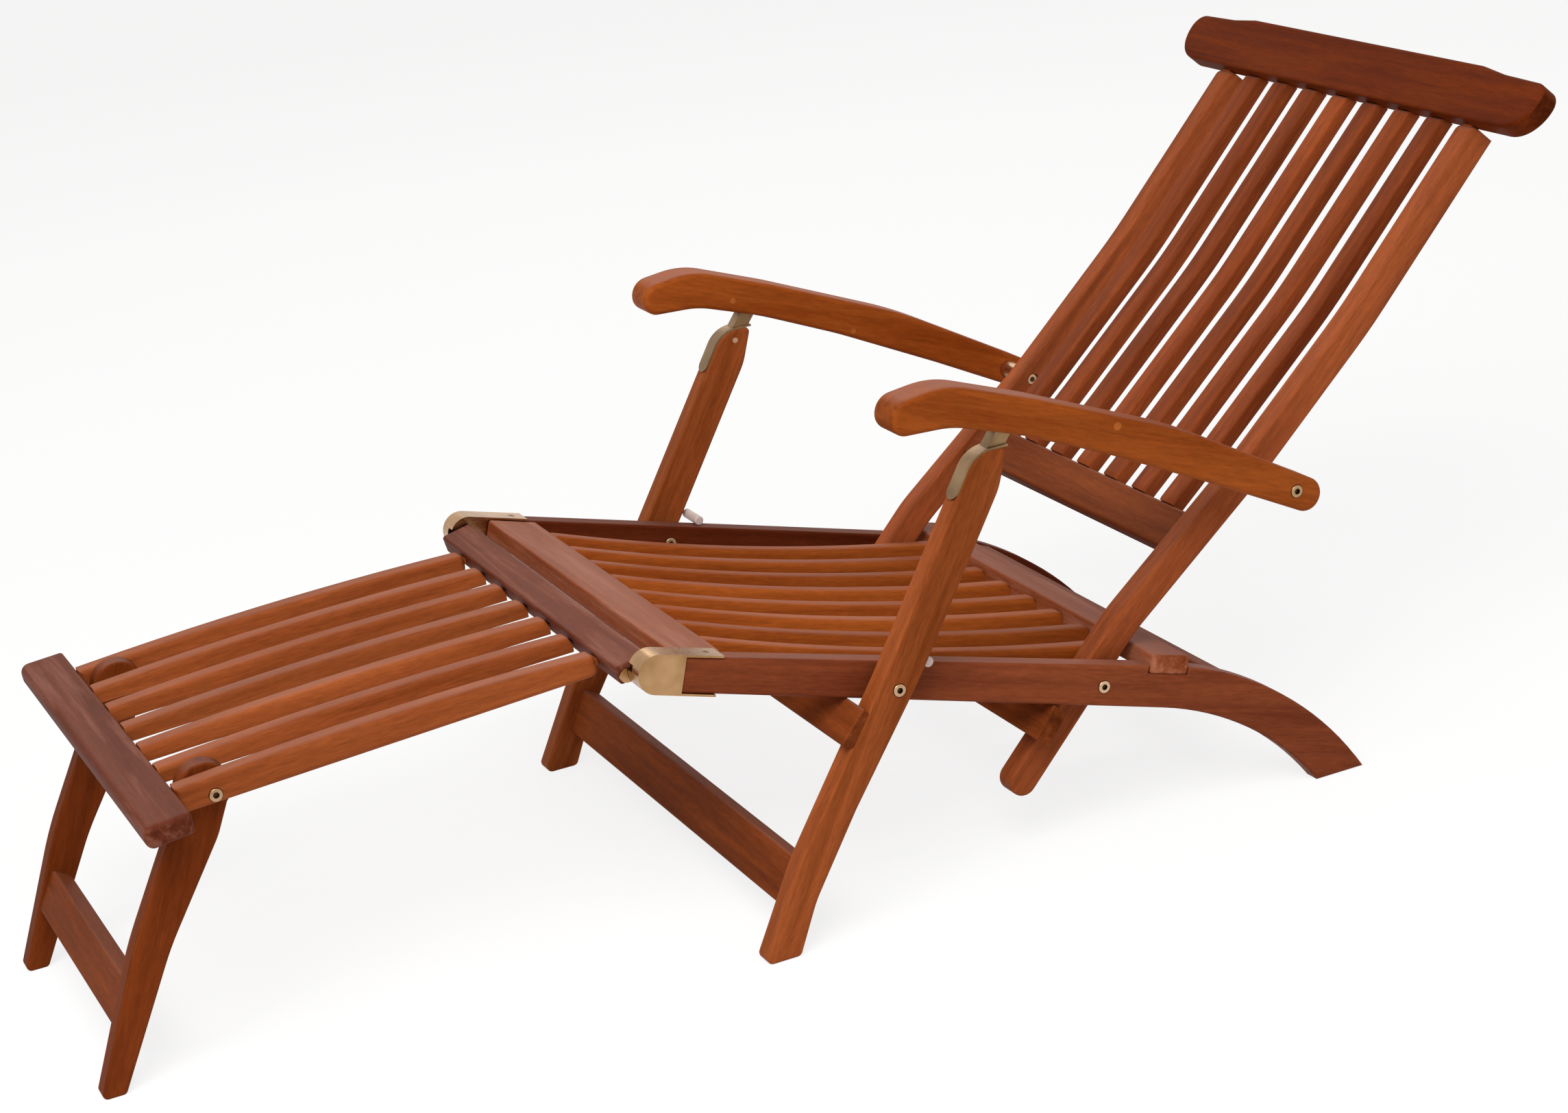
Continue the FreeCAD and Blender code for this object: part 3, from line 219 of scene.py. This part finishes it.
def turnedNylon():
    # Natural nylon rod, turned: slightly waxy, greyed with age, faint turning marks
    material, tree = newMaterial("turnedNylon")
    spot = addNode(tree, "ShaderNodeTexCoord")
    marks = addNode(tree, "ShaderNodeTexNoise", {"Scale": 400.0, "Detail": 2.0},
                    {"Vector": spot.outputs["Object"]})
    bump = addNode(tree, "ShaderNodeBump", {"Strength": 0.1, "Distance": 0.0002},
                   {"Height": marks.outputs["Fac"]})
    shader = addNode(tree, "ShaderNodeBsdfPrincipled",
                     {"Base Color": hexColour("#cdbab2"), "Roughness": 0.45, "IOR": 1.53,
                      "Subsurface Weight": 0.08, "Subsurface Scale": 0.004},
                     {"Normal": bump.outputs[0]})
    finishMaterial(tree, shader)
    return material


# The grain's slope in the side view, the darkest and lightest oil tone, and how an end shows. The far
# rail is the same wood as the near one; its darker tones are painted shade
woodTones = {
    "rail": {"name": "oiledHardwoodRail", "slope": railSlope, "dark": "#632b16", "light": "#8e4829",
             "end": 0.9},
    # painted shade: darker tones than the near rail
    "shadedFarRail": {"name": "oiledHardwoodFarRail", "slope": railSlope, "dark": "#451708", "light": "#662b14",
                "end": 0.9, "gloss": 0.02},
    "legs": {"name": "oiledHardwoodLeg", "slope": 60, "dark": "#743610", "light": "#a4552a", "end": 0.9},
    "legBars": {"name": "oiledHardwoodBar", "slope": "across", "dark": "#5f290d", "light": "#8e4620",
                "end": 0.7, "gloss": 0.02},
    "arms": {"name": "oiledHardwoodArm", "slope": -20, "dark": "#7c3509", "light": "#a5531d", "end": 0.8},
    "stiles": {"name": "oiledHardwoodStile", "slope": 44, "dark": "#77381a", "light": "#a8562d", "end": 0.8},
    "backSlats": {"name": "oiledHardwoodBackSlat", "slope": 44, "dark": "#6c2d10", "light": "#9c4c24",
                  "vary": 0.16},
    "head": {"name": "oiledHardwoodHeadRail", "slope": "across", "dark": "#501c06", "light": "#743110",
             "end": 0.5, "paintedSheen": 0.0, "gloss": 0.02},
    "seatBars": {"name": "oiledHardwoodSeatBar", "slope": "across", "dark": "#7c3a1e", "light": "#9c5838",
                 "end": 1.05, "paintedSheen": 0.28, "streaks": 0.42, "gloss": 0.03},
    "seatSlats": {"name": "oiledHardwoodSeatSlat", "slope": -14, "dark": "#853c12", "light": "#a9561f",
                  "vary": 0.12},
    "footBars": {"name": "oiledHardwoodFootBar", "slope": "across", "dark": "#542414", "light": "#723825",
                 "end": 0.85, "paintedSheen": 0.12, "streaks": 0.3, "gloss": 0.03},
    "footSlats": {"name": "oiledHardwoodFootSlat", "slope": 3, "dark": "#7c3a17", "light": "#a15429",
                  "vary": 0.14},
    "footLegs": {"name": "oiledHardwoodFootLeg", "slope": 68, "dark": "#5c260b", "light": "#803b17",
                 "end": 0.8, "gloss": 0.02},
    "darkPlugs": {"name": "oiledHardwoodDarkPlug", "slope": 50, "dark": "#5b2412", "light": "#70321c"},
    "armPlugs": {"name": "oiledHardwoodArmPlug", "slope": 0, "dark": "#98501f", "light": "#b0652f"},
}
# the amount for faces that look up sets their painted sheen; the same pale pink colour also tints the streaks
# of wear
plainWood = {"vary": 0.07, "sheen": 0.5, "gloss": 0.05, "end": 1.0, "paintedSheen": 0.2, "wearAndSheenColour": "#ad8273",
             "streaks": 0.0, "row": False}
brassTones = {  # tarnish and bare metal, and how dull the surface is
    "plate": {"name": "rolledBrassPlate", "dark": "#a07a50", "light": "#bd946a", "rough": 0.25},
    "strap": {"name": "rolledBrassStrap", "dark": "#7d6346", "light": "#987b58", "rough": 0.42},
    "turned": {"name": "turnedBrassFastener", "dark": "#a58360", "light": "#cfae8c", "rough": 0.3,
               "sockets": [(166, 233), (397, 164), (599, 326), (-451, 267)]},
    "screw": {"name": "turnedBrassScrew", "dark": "#6b5236", "light": "#86694a", "rough": 0.42},
}
brasses = {key: rolledBrass({"sockets": [], **look}) for key, look in brassTones.items()}
nylon = turnedNylon()

dressing = {
    "rail": ["rail_left"],
    "shadedFarRail": ["rail_right"],
    "legBars": ["rear_cross_rail", "leg_stop_bar", "leg_stretcher", "back_stop_bar", "back_cross_rail",
                "footrest_stretcher"],
    "legs": ["front_leg_left", "front_leg_right"],
    "darkPlugs": ["stop_bar_plugs"],
    "armPlugs": ["arm_pins_left", "arm_pins_right"],
    "stiles": ["back_stile_left", "back_stile_right"],
    "head": ["head_rail"],
    "arms": ["arm_left", "arm_right"],
    "seatBars": ["seat_front_rail", "seat_crossbar", "seat_hinge_dowels"],
    "footBars": ["footrest_inner_rail", "foot_end_rail"],
    "footSlats": ["footrest_slat_1", "footrest_slat_7"],
    "footLegs": ["footrest_leg_left", "footrest_leg_right"],
}
woods = {key: oiledHardwood({**plainWood, **woodTones[key]}) for key in dressing}
rowWoods = {key: oiledHardwood({**plainWood, **woodTones[key], "name": woodTones[key]["name"] + "Row",
                                "row": True}) for key in ("backSlats", "seatSlats", "footSlats")}
dressed = {name: woods[key] for key, names in dressing.items() for name in names}
dressed.update({name: brasses["plate"] for name in ("hinge_caps", "footrest_hinge_lugs",
                                                    "footrest_hinge_pins")})
dressed["leg_straps"] = brasses["strap"]
for name in ("pivot_bolts", "pivot_spacers", "leg_top_pins", "arm_bolts", "arm_spacers",
             "footrest_leg_bolts"):
    dressed[name] = brasses["turned"]
dressed["rail_pegs"] = nylon
for name, material in dressed.items():
    for slot in nodes[name].material_slots:
        slot.material = material
print("materials on", len(dressed), "nodes")


def newTree(name, sockets):
    tree = bpy.data.node_groups.new(name, "GeometryNodeTree")
    tree.interface.new_socket("Geometry", in_out="INPUT", socket_type="NodeSocketGeometry")
    for socket, kind in sockets.items():
        tree.interface.new_socket(socket, in_out="INPUT", socket_type="NodeSocket" + kind)
    tree.interface.new_socket("Geometry", in_out="OUTPUT", socket_type="NodeSocketGeometry")
    return tree, addNode(tree, "NodeGroupInput"), addNode(tree, "NodeGroupOutput")


def endDrop(tree, distance, radius):  # how far a quarter-round end has fallen at a distance from it
    gap = addNode(tree, "ShaderNodeMath", {"operation": "SUBTRACT"}, {0: radius, 1: distance})
    room = addNode(tree, "ShaderNodeMath", {"operation": "MAXIMUM", 1: 0.0}, {0: gap.outputs[0]})
    square = addNode(tree, "ShaderNodeMath", {"operation": "MULTIPLY"},
                     {0: room.outputs[0], 1: room.outputs[0]})
    whole = addNode(tree, "ShaderNodeMath", {"operation": "MULTIPLY"}, {0: radius, 1: radius})
    left = addNode(tree, "ShaderNodeMath", {"operation": "SUBTRACT"},
                   {0: whole.outputs[0], 1: square.outputs[0]})
    still = addNode(tree, "ShaderNodeMath", {"operation": "MAXIMUM", 1: 0.0}, {0: left.outputs[0]})
    rise = addNode(tree, "ShaderNodeMath", {"operation": "SQRT"}, {0: still.outputs[0]})
    return addNode(tree, "ShaderNodeMath", {"operation": "SUBTRACT"},
                   {0: radius, 1: rise.outputs[0]}).outputs[0]


slatSteps = {"turn": 16, "path": 150, "round": 5}  # how finely the slats' curves are drawn


def slatRowTree():
    sizes = {"Count": "Int", "Pitch": "Float", "Width": "Float", "Depth": "Float", "Top Round": "Float",
             "Bottom Round": "Float", "Front Round": "Float", "Rear Round": "Float", "Belly": "Float",
             "Seed": "Int", "Wood": "Material"}
    tree, given, out = newTree("slatRow", sizes)
    size = given.outputs
    curve = addNode(tree, "GeometryNodeMeshToCurve", links={"Mesh": size["Geometry"]})
    turn = addNode(tree, "GeometryNodeInputNamedAttribute", {"data_type": "FLOAT", "Name": "turnRadius"})
    bend = addNode(tree, "GeometryNodeFilletCurve",
                   {"mode": "POLY", "Count": slatSteps["turn"], "Limit Radius": True},
                   {"Curve": curve.outputs[0], "Radius": turn.outputs[0]})
    path = addNode(tree, "GeometryNodeResampleCurve", {"mode": "COUNT", "Count": slatSteps["path"]},
                   {"Curve": bend.outputs[0]})
    part = addNode(tree, "GeometryNodeSplineParameter")
    length = addNode(tree, "GeometryNodeSplineLength")
    toEnd = addNode(tree, "ShaderNodeMath", {"operation": "SUBTRACT"},
                    {0: length.outputs["Length"], 1: part.outputs["Length"]})
    front = endDrop(tree, part.outputs["Length"], size["Front Round"])
    rear = endDrop(tree, toEnd.outputs[0], size["Rear Round"])
    drop = addNode(tree, "ShaderNodeMath", {"operation": "ADD"}, {0: front, 1: rear})
    tangent = addNode(tree, "GeometryNodeInputTangent")
    up = addNode(tree, "ShaderNodeVectorMath", {"operation": "CROSS_PRODUCT", 1: (0, 1, 0)},
                 {0: tangent.outputs[0]})
    fall = addNode(tree, "ShaderNodeVectorMath", {"operation": "SCALE"},
                   {0: up.outputs[0], "Scale": drop.outputs[0]})
    rest = addNode(tree, "ShaderNodeMath", {"operation": "SUBTRACT", 0: 1.0}, {1: part.outputs["Factor"]})
    arch = addNode(tree, "ShaderNodeMath", {"operation": "MULTIPLY"},
                   {0: part.outputs["Factor"], 1: rest.outputs[0]})
    deepest = addNode(tree, "ShaderNodeMath", {"operation": "MULTIPLY", 1: 4.0}, {0: size["Belly"]})
    belly = addNode(tree, "ShaderNodeMath", {"operation": "MULTIPLY"},
                    {0: arch.outputs[0], 1: deepest.outputs[0]})
    swell = addNode(tree, "ShaderNodeVectorMath", {"operation": "SCALE"},
                    {0: up.outputs[0], "Scale": belly.outputs[0]})
    kept = addNode(tree, "GeometryNodeCaptureAttribute", {"domain": "POINT"}, {"Geometry": path.outputs[0]})
    kept.capture_items.new("VECTOR", "fall")
    tree.links.new(fall.outputs[0], kept.inputs["fall"])
    kept.capture_items.new("VECTOR", "swell")
    tree.links.new(swell.outputs[0], kept.inputs["swell"])
    stood = addNode(tree, "GeometryNodeSetCurveNormal", {"mode": "Z_UP"}, {"Curve": kept.outputs[0]})
    section = addNode(tree, "GeometryNodeCurvePrimitiveQuadrilateral", {"mode": "RECTANGLE"},
                      {"Width": size["Width"], "Height": size["Depth"]})
    spot = addNode(tree, "GeometryNodeInputPosition")
    # the section's Y points down
    spotY = addNode(tree, "ShaderNodeSeparateXYZ", links={"Vector": spot.outputs[0]})
    isTop = addNode(tree, "FunctionNodeCompare", {"data_type": "FLOAT", "operation": "LESS_THAN", "B": 0.0},
                    {"A": spotY.outputs["Y"]})
    rounding = addNode(tree, "GeometryNodeSwitch", {"input_type": "FLOAT"},
                       {"Switch": isTop.outputs[0], "False": size["Bottom Round"],
                        "True": size["Top Round"]})
    eased = addNode(tree, "GeometryNodeFilletCurve",
                    {"mode": "POLY", "Count": slatSteps["round"], "Limit Radius": True},
                    {"Curve": section.outputs[0], "Radius": rounding.outputs[0]})
    half = addNode(tree, "ShaderNodeMath", {"operation": "DIVIDE", 1: 2.0}, {0: size["Depth"]})
    above = addNode(tree, "ShaderNodeMath", {"operation": "SUBTRACT"},
                    {0: half.outputs[0], 1: spotY.outputs["Y"]})
    share = addNode(tree, "ShaderNodeMath", {"operation": "DIVIDE"}, {0: above.outputs[0], 1: size["Depth"]})
    keptShare = addNode(tree, "GeometryNodeCaptureAttribute", {"domain": "POINT"},
                        {"Geometry": eased.outputs[0]})
    keptShare.capture_items.new("FLOAT", "share")
    tree.links.new(share.outputs[0], keptShare.inputs["share"])
    downVector = addNode(tree, "ShaderNodeCombineXYZ", links={"Y": half.outputs[0]})
    hung = addNode(tree, "GeometryNodeTransform",
                   links={"Geometry": keptShare.outputs[0], "Translation": downVector.outputs[0]})
    slat = addNode(tree, "GeometryNodeCurveToMesh", {"Fill Caps": True},
                   {"Curve": stood.outputs[0], "Profile Curve": hung.outputs[0]})
    scaled = addNode(tree, "ShaderNodeVectorMath", {"operation": "SCALE"},
                     {0: kept.outputs["fall"], "Scale": keptShare.outputs["share"]})
    low = addNode(tree, "ShaderNodeMath", {"operation": "SUBTRACT", 0: 1.0}, {1: keptShare.outputs["share"]})
    hangs = addNode(tree, "ShaderNodeVectorMath", {"operation": "SCALE"},
                    {0: kept.outputs["swell"], "Scale": low.outputs[0]})
    moved = addNode(tree, "ShaderNodeVectorMath", {"operation": "ADD"},
                    {0: scaled.outputs[0], 1: hangs.outputs[0]})
    back = addNode(tree, "ShaderNodeVectorMath", {"operation": "SCALE", "Scale": -1.0}, {0: moved.outputs[0]})
    ended = addNode(tree, "GeometryNodeSetPosition",
                    links={"Geometry": slat.outputs[0], "Offset": back.outputs[0]})
    last = addNode(tree, "ShaderNodeMath", {"operation": "SUBTRACT", 1: 1.0}, {0: size["Count"]})
    reach = addNode(tree, "ShaderNodeMath", {"operation": "MULTIPLY"}, {0: last.outputs[0], 1: size["Pitch"]})
    begin = addNode(tree, "ShaderNodeMath", {"operation": "MULTIPLY", 1: -0.5}, {0: reach.outputs[0]})
    first = addNode(tree, "ShaderNodeCombineXYZ", links={"Y": begin.outputs[0]})
    step = addNode(tree, "ShaderNodeCombineXYZ", links={"Y": size["Pitch"]})
    line = addNode(tree, "GeometryNodeMeshLine", {"mode": "OFFSET"},
                   {"Count": size["Count"], "Start Location": first.outputs[0], "Offset": step.outputs[0]})
    row = addNode(tree, "GeometryNodeInstanceOnPoints",
                  links={"Points": line.outputs[0], "Instance": ended.outputs[0]})
    tone = addNode(tree, "FunctionNodeRandomValue", {"data_type": "FLOAT"}, {"Seed": size["Seed"]})
    toned = addNode(tree, "GeometryNodeStoreNamedAttribute",
                    {"data_type": "FLOAT", "domain": "INSTANCE", "Name": "boardTone"},
                    {"Geometry": row.outputs[0], "Value": tone.outputs[1]})
    real = addNode(tree, "GeometryNodeRealizeInstances", links={"Geometry": toned.outputs[0]})
    painted = addNode(tree, "GeometryNodeSetMaterial",
                      links={"Geometry": real.outputs[0], "Material": size["Wood"]})
    tree.links.new(painted.outputs[0], out.inputs["Geometry"])
    return tree


sharpFrom = 40  # edges that turn more than this stay sharp, degrees


def runTree(name, tree, source, sizes):  # turns the tree's result into a plain mesh piece
    holder = bpy.data.objects.new(name + "Source", source)
    bpy.context.scene.collection.objects.link(holder)
    modifier = holder.modifiers.new("tree", "NODES")
    modifier.node_group = tree
    for item in tree.interface.items_tree:
        if item.in_out == "INPUT" and item.name in sizes:
            modifier[item.identifier] = sizes[item.name]
    bpy.context.view_layer.update()
    ready = holder.evaluated_get(bpy.context.evaluated_depsgraph_get())
    mesh = bpy.data.meshes.new_from_object(ready, preserve_all_data_layers=True,
                                           depsgraph=bpy.context.evaluated_depsgraph_get())
    bpy.data.objects.remove(holder)
    mesh.name = name
    mesh.shade_smooth()
    mesh.set_sharp_from_angle(angle=math.radians(sharpFrom))
    piece = bpy.data.objects.new(name, mesh)
    bpy.context.scene.collection.objects.link(piece)
    print(name, len(mesh.polygons), "faces",
          [tuple(round(c, 3) for c in corner) for corner in (piece.bound_box[0], piece.bound_box[6])])
    return piece


def pathMesh(name, places):  # a path of side-view places, each with the radius of its turn, mm
    mesh = bpy.data.meshes.new(name)
    mesh.from_pydata([place(x, z) for x, z, radius in places], [(i, i + 1) for i in range(len(places) - 1)],
                     [])
    turns = mesh.attributes.new("turnRadius", "FLOAT", "POINT")
    for item, (x, z, radius) in zip(turns.data, places):
        item.value = radius * mm
    return mesh


arcShare = 0.93  # the arc's radius, against one that spans the whole slat


def bowedPath(front, rear, sag):  # two straights and one long arc, as the slats are cut
    length = math.dist(front, rear)
    slope = math.degrees(math.atan2(rear[1] - front[1], rear[0] - front[0]))
    middle = along(front, slope, length / 2, -2 * sag)
    return [(*front, 0), (*middle, length ** 2 / (8 * abs(sag)) * arcShare), (*rear, 0)]


slatRow = slatRowTree()
rail = ((166.0, 233.0), railSlope)  # the side rail's centreline
head = ((893.0, 615.0), 46.8)    # the head rail's middle plane
slatRows = {
    "seatSlats": {"body": "seat", "node": "seat_slat_%d", "first": 1, "last": 8, "wood": "seatSlats",
                  "slot": "seat_slat_wood", "seed": 518,
                  "path": bowedPath(along(*rail, -158.2, 16.6), along(*rail, 290.5, 27.2), 9.8),
                  "sizes": {"Pitch": 55.3, "Width": 20, "Depth": 15, "Top Round": 6, "Bottom Round": 1,
                            "Front Round": 0.5, "Rear Round": 6, "Belly": 0}},
    "backSlats": {"body": "back", "node": "back_slat_%d", "first": 1, "last": 7, "wood": "backSlats",
                  "slot": "back_slat_wood", "seed": 135,
                  "path": [(*along((397, 164), 38.8, 191, 14), 0), (590.3, 340, 500), (725.2, 460.1, 700),
                           (*along(*head, -5.0, 14), 0)],
                  "sizes": {"Pitch": 55.4, "Width": 26, "Depth": 16, "Top Round": 3, "Bottom Round": 3,
                            "Front Round": 0.5, "Rear Round": 8, "Belly": 0}},
    "footSlats": {"body": "footrest", "node": "footrest_slat_%d", "first": 2, "last": 6,
                  "wood": "footSlats", "slot": "footrest_wood", "seed": 581,
                  "path": bowedPath((-486.0, 281.5), (-85.0, 302.0), -5.0),
                  "sizes": {"Pitch": 60, "Width": 22, "Depth": 15, "Top Round": 6, "Bottom Round": 1,
                            "Front Round": 0.5, "Rear Round": 7, "Belly": 4.5}},
}
for name, row in slatRows.items():
    count = row["last"] - row["first"] + 1
    sizes = {key: value * mm for key, value in row["sizes"].items()}
    piece = runTree(name, slatRow, pathMesh(name + "Path", row["path"]),
                    {**sizes, "Count": count, "Seed": row["seed"], "Wood": rowWoods[row["wood"]]})
    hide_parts(*[row["node"] % number for number in range(row["first"], row["last"] + 1)])
    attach(piece, row["body"])


def screwTree():
    sizes = {"Head Radius": "Float", "Head Height": "Float", "Slot Width": "Float", "Slot Length": "Float",
             "Slot Depth": "Float", "Brass": "Material"}
    tree, given, out = newTree("crossHeadScrews", sizes)
    size = given.outputs
    dome = addNode(tree, "GeometryNodeMeshUVSphere", {"Segments": 32, "Rings": 16},
                   {"Radius": size["Head Radius"]})
    flat = addNode(tree, "ShaderNodeMath", {"operation": "DIVIDE"},
                   {0: size["Head Height"], 1: size["Head Radius"]})
    squash = addNode(tree, "ShaderNodeCombineXYZ", {"X": 1.0, "Y": 1.0}, {"Z": flat.outputs[0]})
    head = addNode(tree, "GeometryNodeTransform",
                   links={"Geometry": dome.outputs[0], "Scale": squash.outputs[0]})
    deep = addNode(tree, "ShaderNodeMath", {"operation": "MULTIPLY", 1: 2.0}, {0: size["Slot Depth"]})
    lift = addNode(tree, "ShaderNodeCombineXYZ", links={"Z": size["Head Height"]})
    box = addNode(tree, "ShaderNodeCombineXYZ",
                  links={"X": size["Slot Length"], "Y": size["Slot Width"], "Z": deep.outputs[0]})
    slotOne = addNode(tree, "GeometryNodeMeshCube", links={"Size": box.outputs[0]})
    raised = addNode(tree, "GeometryNodeTransform",
                     links={"Geometry": slotOne.outputs[0], "Translation": lift.outputs[0]})
    crossed = addNode(tree, "GeometryNodeTransform", {"Rotation": (0, 0, math.pi / 2)},
                      {"Geometry": raised.outputs[0]})
    cut = addNode(tree, "GeometryNodeMeshBoolean", {"operation": "DIFFERENCE", "solver": "EXACT"},
                  {"Mesh 1": head.outputs[0], "Mesh 2": raised.outputs[0]})
    tree.links.new(crossed.outputs[0], cut.inputs["Mesh 2"])
    facing = addNode(tree, "GeometryNodeInputNamedAttribute", {"data_type": "FLOAT_VECTOR", "Name": "facing"})
    turned = addNode(tree, "FunctionNodeAlignRotationToVector", {"axis": "Z"}, {"Vector": facing.outputs[0]})
    heads = addNode(tree, "GeometryNodeInstanceOnPoints",
                    links={"Points": size["Geometry"], "Instance": cut.outputs[0],
                           "Rotation": turned.outputs[0]})
    real = addNode(tree, "GeometryNodeRealizeInstances", links={"Geometry": heads.outputs[0]})
    painted = addNode(tree, "GeometryNodeSetMaterial",
                      links={"Geometry": real.outputs[0], "Material": size["Brass"]})
    tree.links.new(painted.outputs[0], out.inputs["Geometry"])
    return tree


def pointMesh(name, points):  # (place, outward direction) for each screw
    mesh = bpy.data.meshes.new(name)
    mesh.from_pydata([spot for spot, facing in points], [], [])
    directions = mesh.attributes.new("facing", "FLOAT_VECTOR", "POINT")
    for item, (spot, facing) in zip(directions.data, points):
        item.vector = facing
    return mesh


def lineNormal(slope, side=1):
    return Vector((-side * math.sin(math.radians(slope)), 0, side * math.cos(math.radians(slope))))


screwSizes = {"Head Radius": 4.4 * mm, "Head Height": 0.6 * mm, "Slot Width": 1.0 * mm,
              "Slot Length": 4.6 * mm, "Slot Depth": 0.8 * mm, "Brass": brasses["screw"]}
screwSunk = 0.25  # how far the heads sit below the brass, mm
crossHead = screwTree()
# The rail's half depth at its pivot, how it widens along the rail, and the thickness of the brass, mm
capPlate = {"half": 18.8, "widening": 0.0081, "brass": 2.1}
capSpots = ((1, -181), (-1, -187))  # upper and lower face, and how far along the rail, mm
capScrews = []
for side, distance in capSpots:
    above = side * (capPlate["half"] + capPlate["widening"] * distance + capPlate["brass"] - screwSunk)
    for y in (-railMiddle, railMiddle):
        capScrews.append((place(*along(*rail, distance, above), y), lineNormal(railSlope, side)))
legEdge = ((150, 247), (268, 438))  # the straight upper part of the leg's front edge
strapSpot = (247, 406)
strapSlope = math.degrees(math.atan2(legEdge[1][1] - legEdge[0][1], legEdge[1][0] - legEdge[0][0]))
strapPlace = along(strapSpot, strapSlope, 0, -screwSunk)
strapScrews = [(place(*strapPlace, y), lineNormal(strapSlope)) for y in (-legMiddle, legMiddle)]
screwPieces = (("capScrews", "hinge_cap_screws", "rail_frame", capScrews),
               ("strapScrews", "strap_screws", "front_legs", strapScrews))
for name, node, body, points in screwPieces:
    piece = runTree(name, crossHead, pointMesh(name + "Points", points), screwSizes)
    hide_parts(node)
    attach(piece, body)


studio = {"floor": "#f6f5f3", "floorSize": 30.0, "floorGlow": 0.8, "worldLevel": 0.45}


def seenDirectly(tree):  # camera, mirror and glass rays see plain white behind the chair
    rays = addNode(tree, "ShaderNodeLightPath")
    either = addNode(tree, "ShaderNodeMath", {"operation": "MAXIMUM"},
                     {0: rays.outputs["Is Camera Ray"], 1: rays.outputs["Is Glossy Ray"]})
    return addNode(tree, "ShaderNodeMath", {"operation": "MAXIMUM"},
                   {0: either.outputs[0], 1: rays.outputs["Is Transmission Ray"]})


floorMesh = bpy.data.meshes.new("paleFloor")
reach = studio["floorSize"] / 2
floorMesh.from_pydata([(-reach, -reach, 0), (reach, -reach, 0), (reach, reach, 0), (-reach, reach, 0)], [],
                      [(0, 1, 2, 3)])
floor = bpy.data.objects.new("paleFloor", floorMesh)
bpy.context.scene.collection.objects.link(floor)
# matt white studio paint: no gloss, keeps a soft shadow
floorMaterial, floorTree = newMaterial("mattPaintedFloor")
paint = addNode(floorTree, "ShaderNodeBsdfDiffuse", {"Color": hexColour(studio["floor"]), "Roughness": 1.0})
glow = addNode(floorTree, "ShaderNodeEmission", {"Color": (1, 1, 1, 1), "Strength": 1.0})
lift = addNode(floorTree, "ShaderNodeMath", {"operation": "MULTIPLY", 1: studio["floorGlow"]},
               {0: seenDirectly(floorTree).outputs[0]})
finishMaterial(floorTree,
               addNode(floorTree, "ShaderNodeMixShader",
                       links={0: lift.outputs[0], 1: paint.outputs[0], 2: glow.outputs[0]}))
floorMesh.materials.append(floorMaterial)

world = bpy.data.worlds.new("studio")
bpy.context.scene.world = world
world.use_nodes = True
sky = world.node_tree
sky.nodes.clear()
level = addNode(sky, "ShaderNodeMapRange", {"To Min": studio["worldLevel"], "To Max": 1.0},
                {"Value": seenDirectly(sky).outputs[0]})
backdrop = addNode(sky, "ShaderNodeBackground", {"Color": (1, 1, 1, 1)}, {"Strength": level.outputs[0]})
addNode(sky, "ShaderNodeOutputWorld", links={"Surface": backdrop.outputs[0]})

lamps = {  # where each softbox stands and points, its width and height in metres, and its power
    "keySoftbox": {"spot": (-1.4, -1.9, 3.0), "target": (0, 0, 0.25), "size": (2.6, 2.0), "power": 105},
    "rearSoftbox": {"spot": (1.2, 2.4, 2.6), "target": (0, 0, 0.3), "size": (2.4, 1.6), "power": 22},
}
for name, look in lamps.items():
    lamp = bpy.data.lights.new(name, "AREA")
    lamp.shape, lamp.energy = "RECTANGLE", look["power"]
    lamp.size, lamp.size_y = look["size"]
    holder = bpy.data.objects.new(name, lamp)
    holder.location = look["spot"]
    aim = Vector(look["target"]) - Vector(look["spot"])
    holder.rotation_euler = aim.to_track_quat("-Z", "Y").to_euler()
    bpy.context.scene.collection.objects.link(holder)

view = {"lens": 74.09, "sensor": 36.0, "farthest": 60.0, "spot": (-989.14, 1334.05, -2810.59),
        "right": (0.9005, -0.4203, -0.1112), "forward": (0.3661, 0.871, -0.3275)}
backward = -Vector(view["forward"]).normalized()
upward = backward.cross(Vector(view["right"])).normalized()
rightward = upward.cross(backward)
camera = bpy.data.objects.new("photoCamera", bpy.data.cameras.new("photoCamera"))
camera.data.lens = view["lens"]
camera.data.sensor_width = view["sensor"]
camera.data.clip_end = view["farthest"]
heading = Matrix((rightward, upward, backward)).transposed().to_4x4()
camera.matrix_world = Matrix.Translation(place(*view["spot"])) @ heading
bpy.context.scene.collection.objects.link(camera)
bpy.context.scene.camera = camera
bpy.context.scene.view_settings.view_transform = "Standard"
print("stage, lights and camera ready")
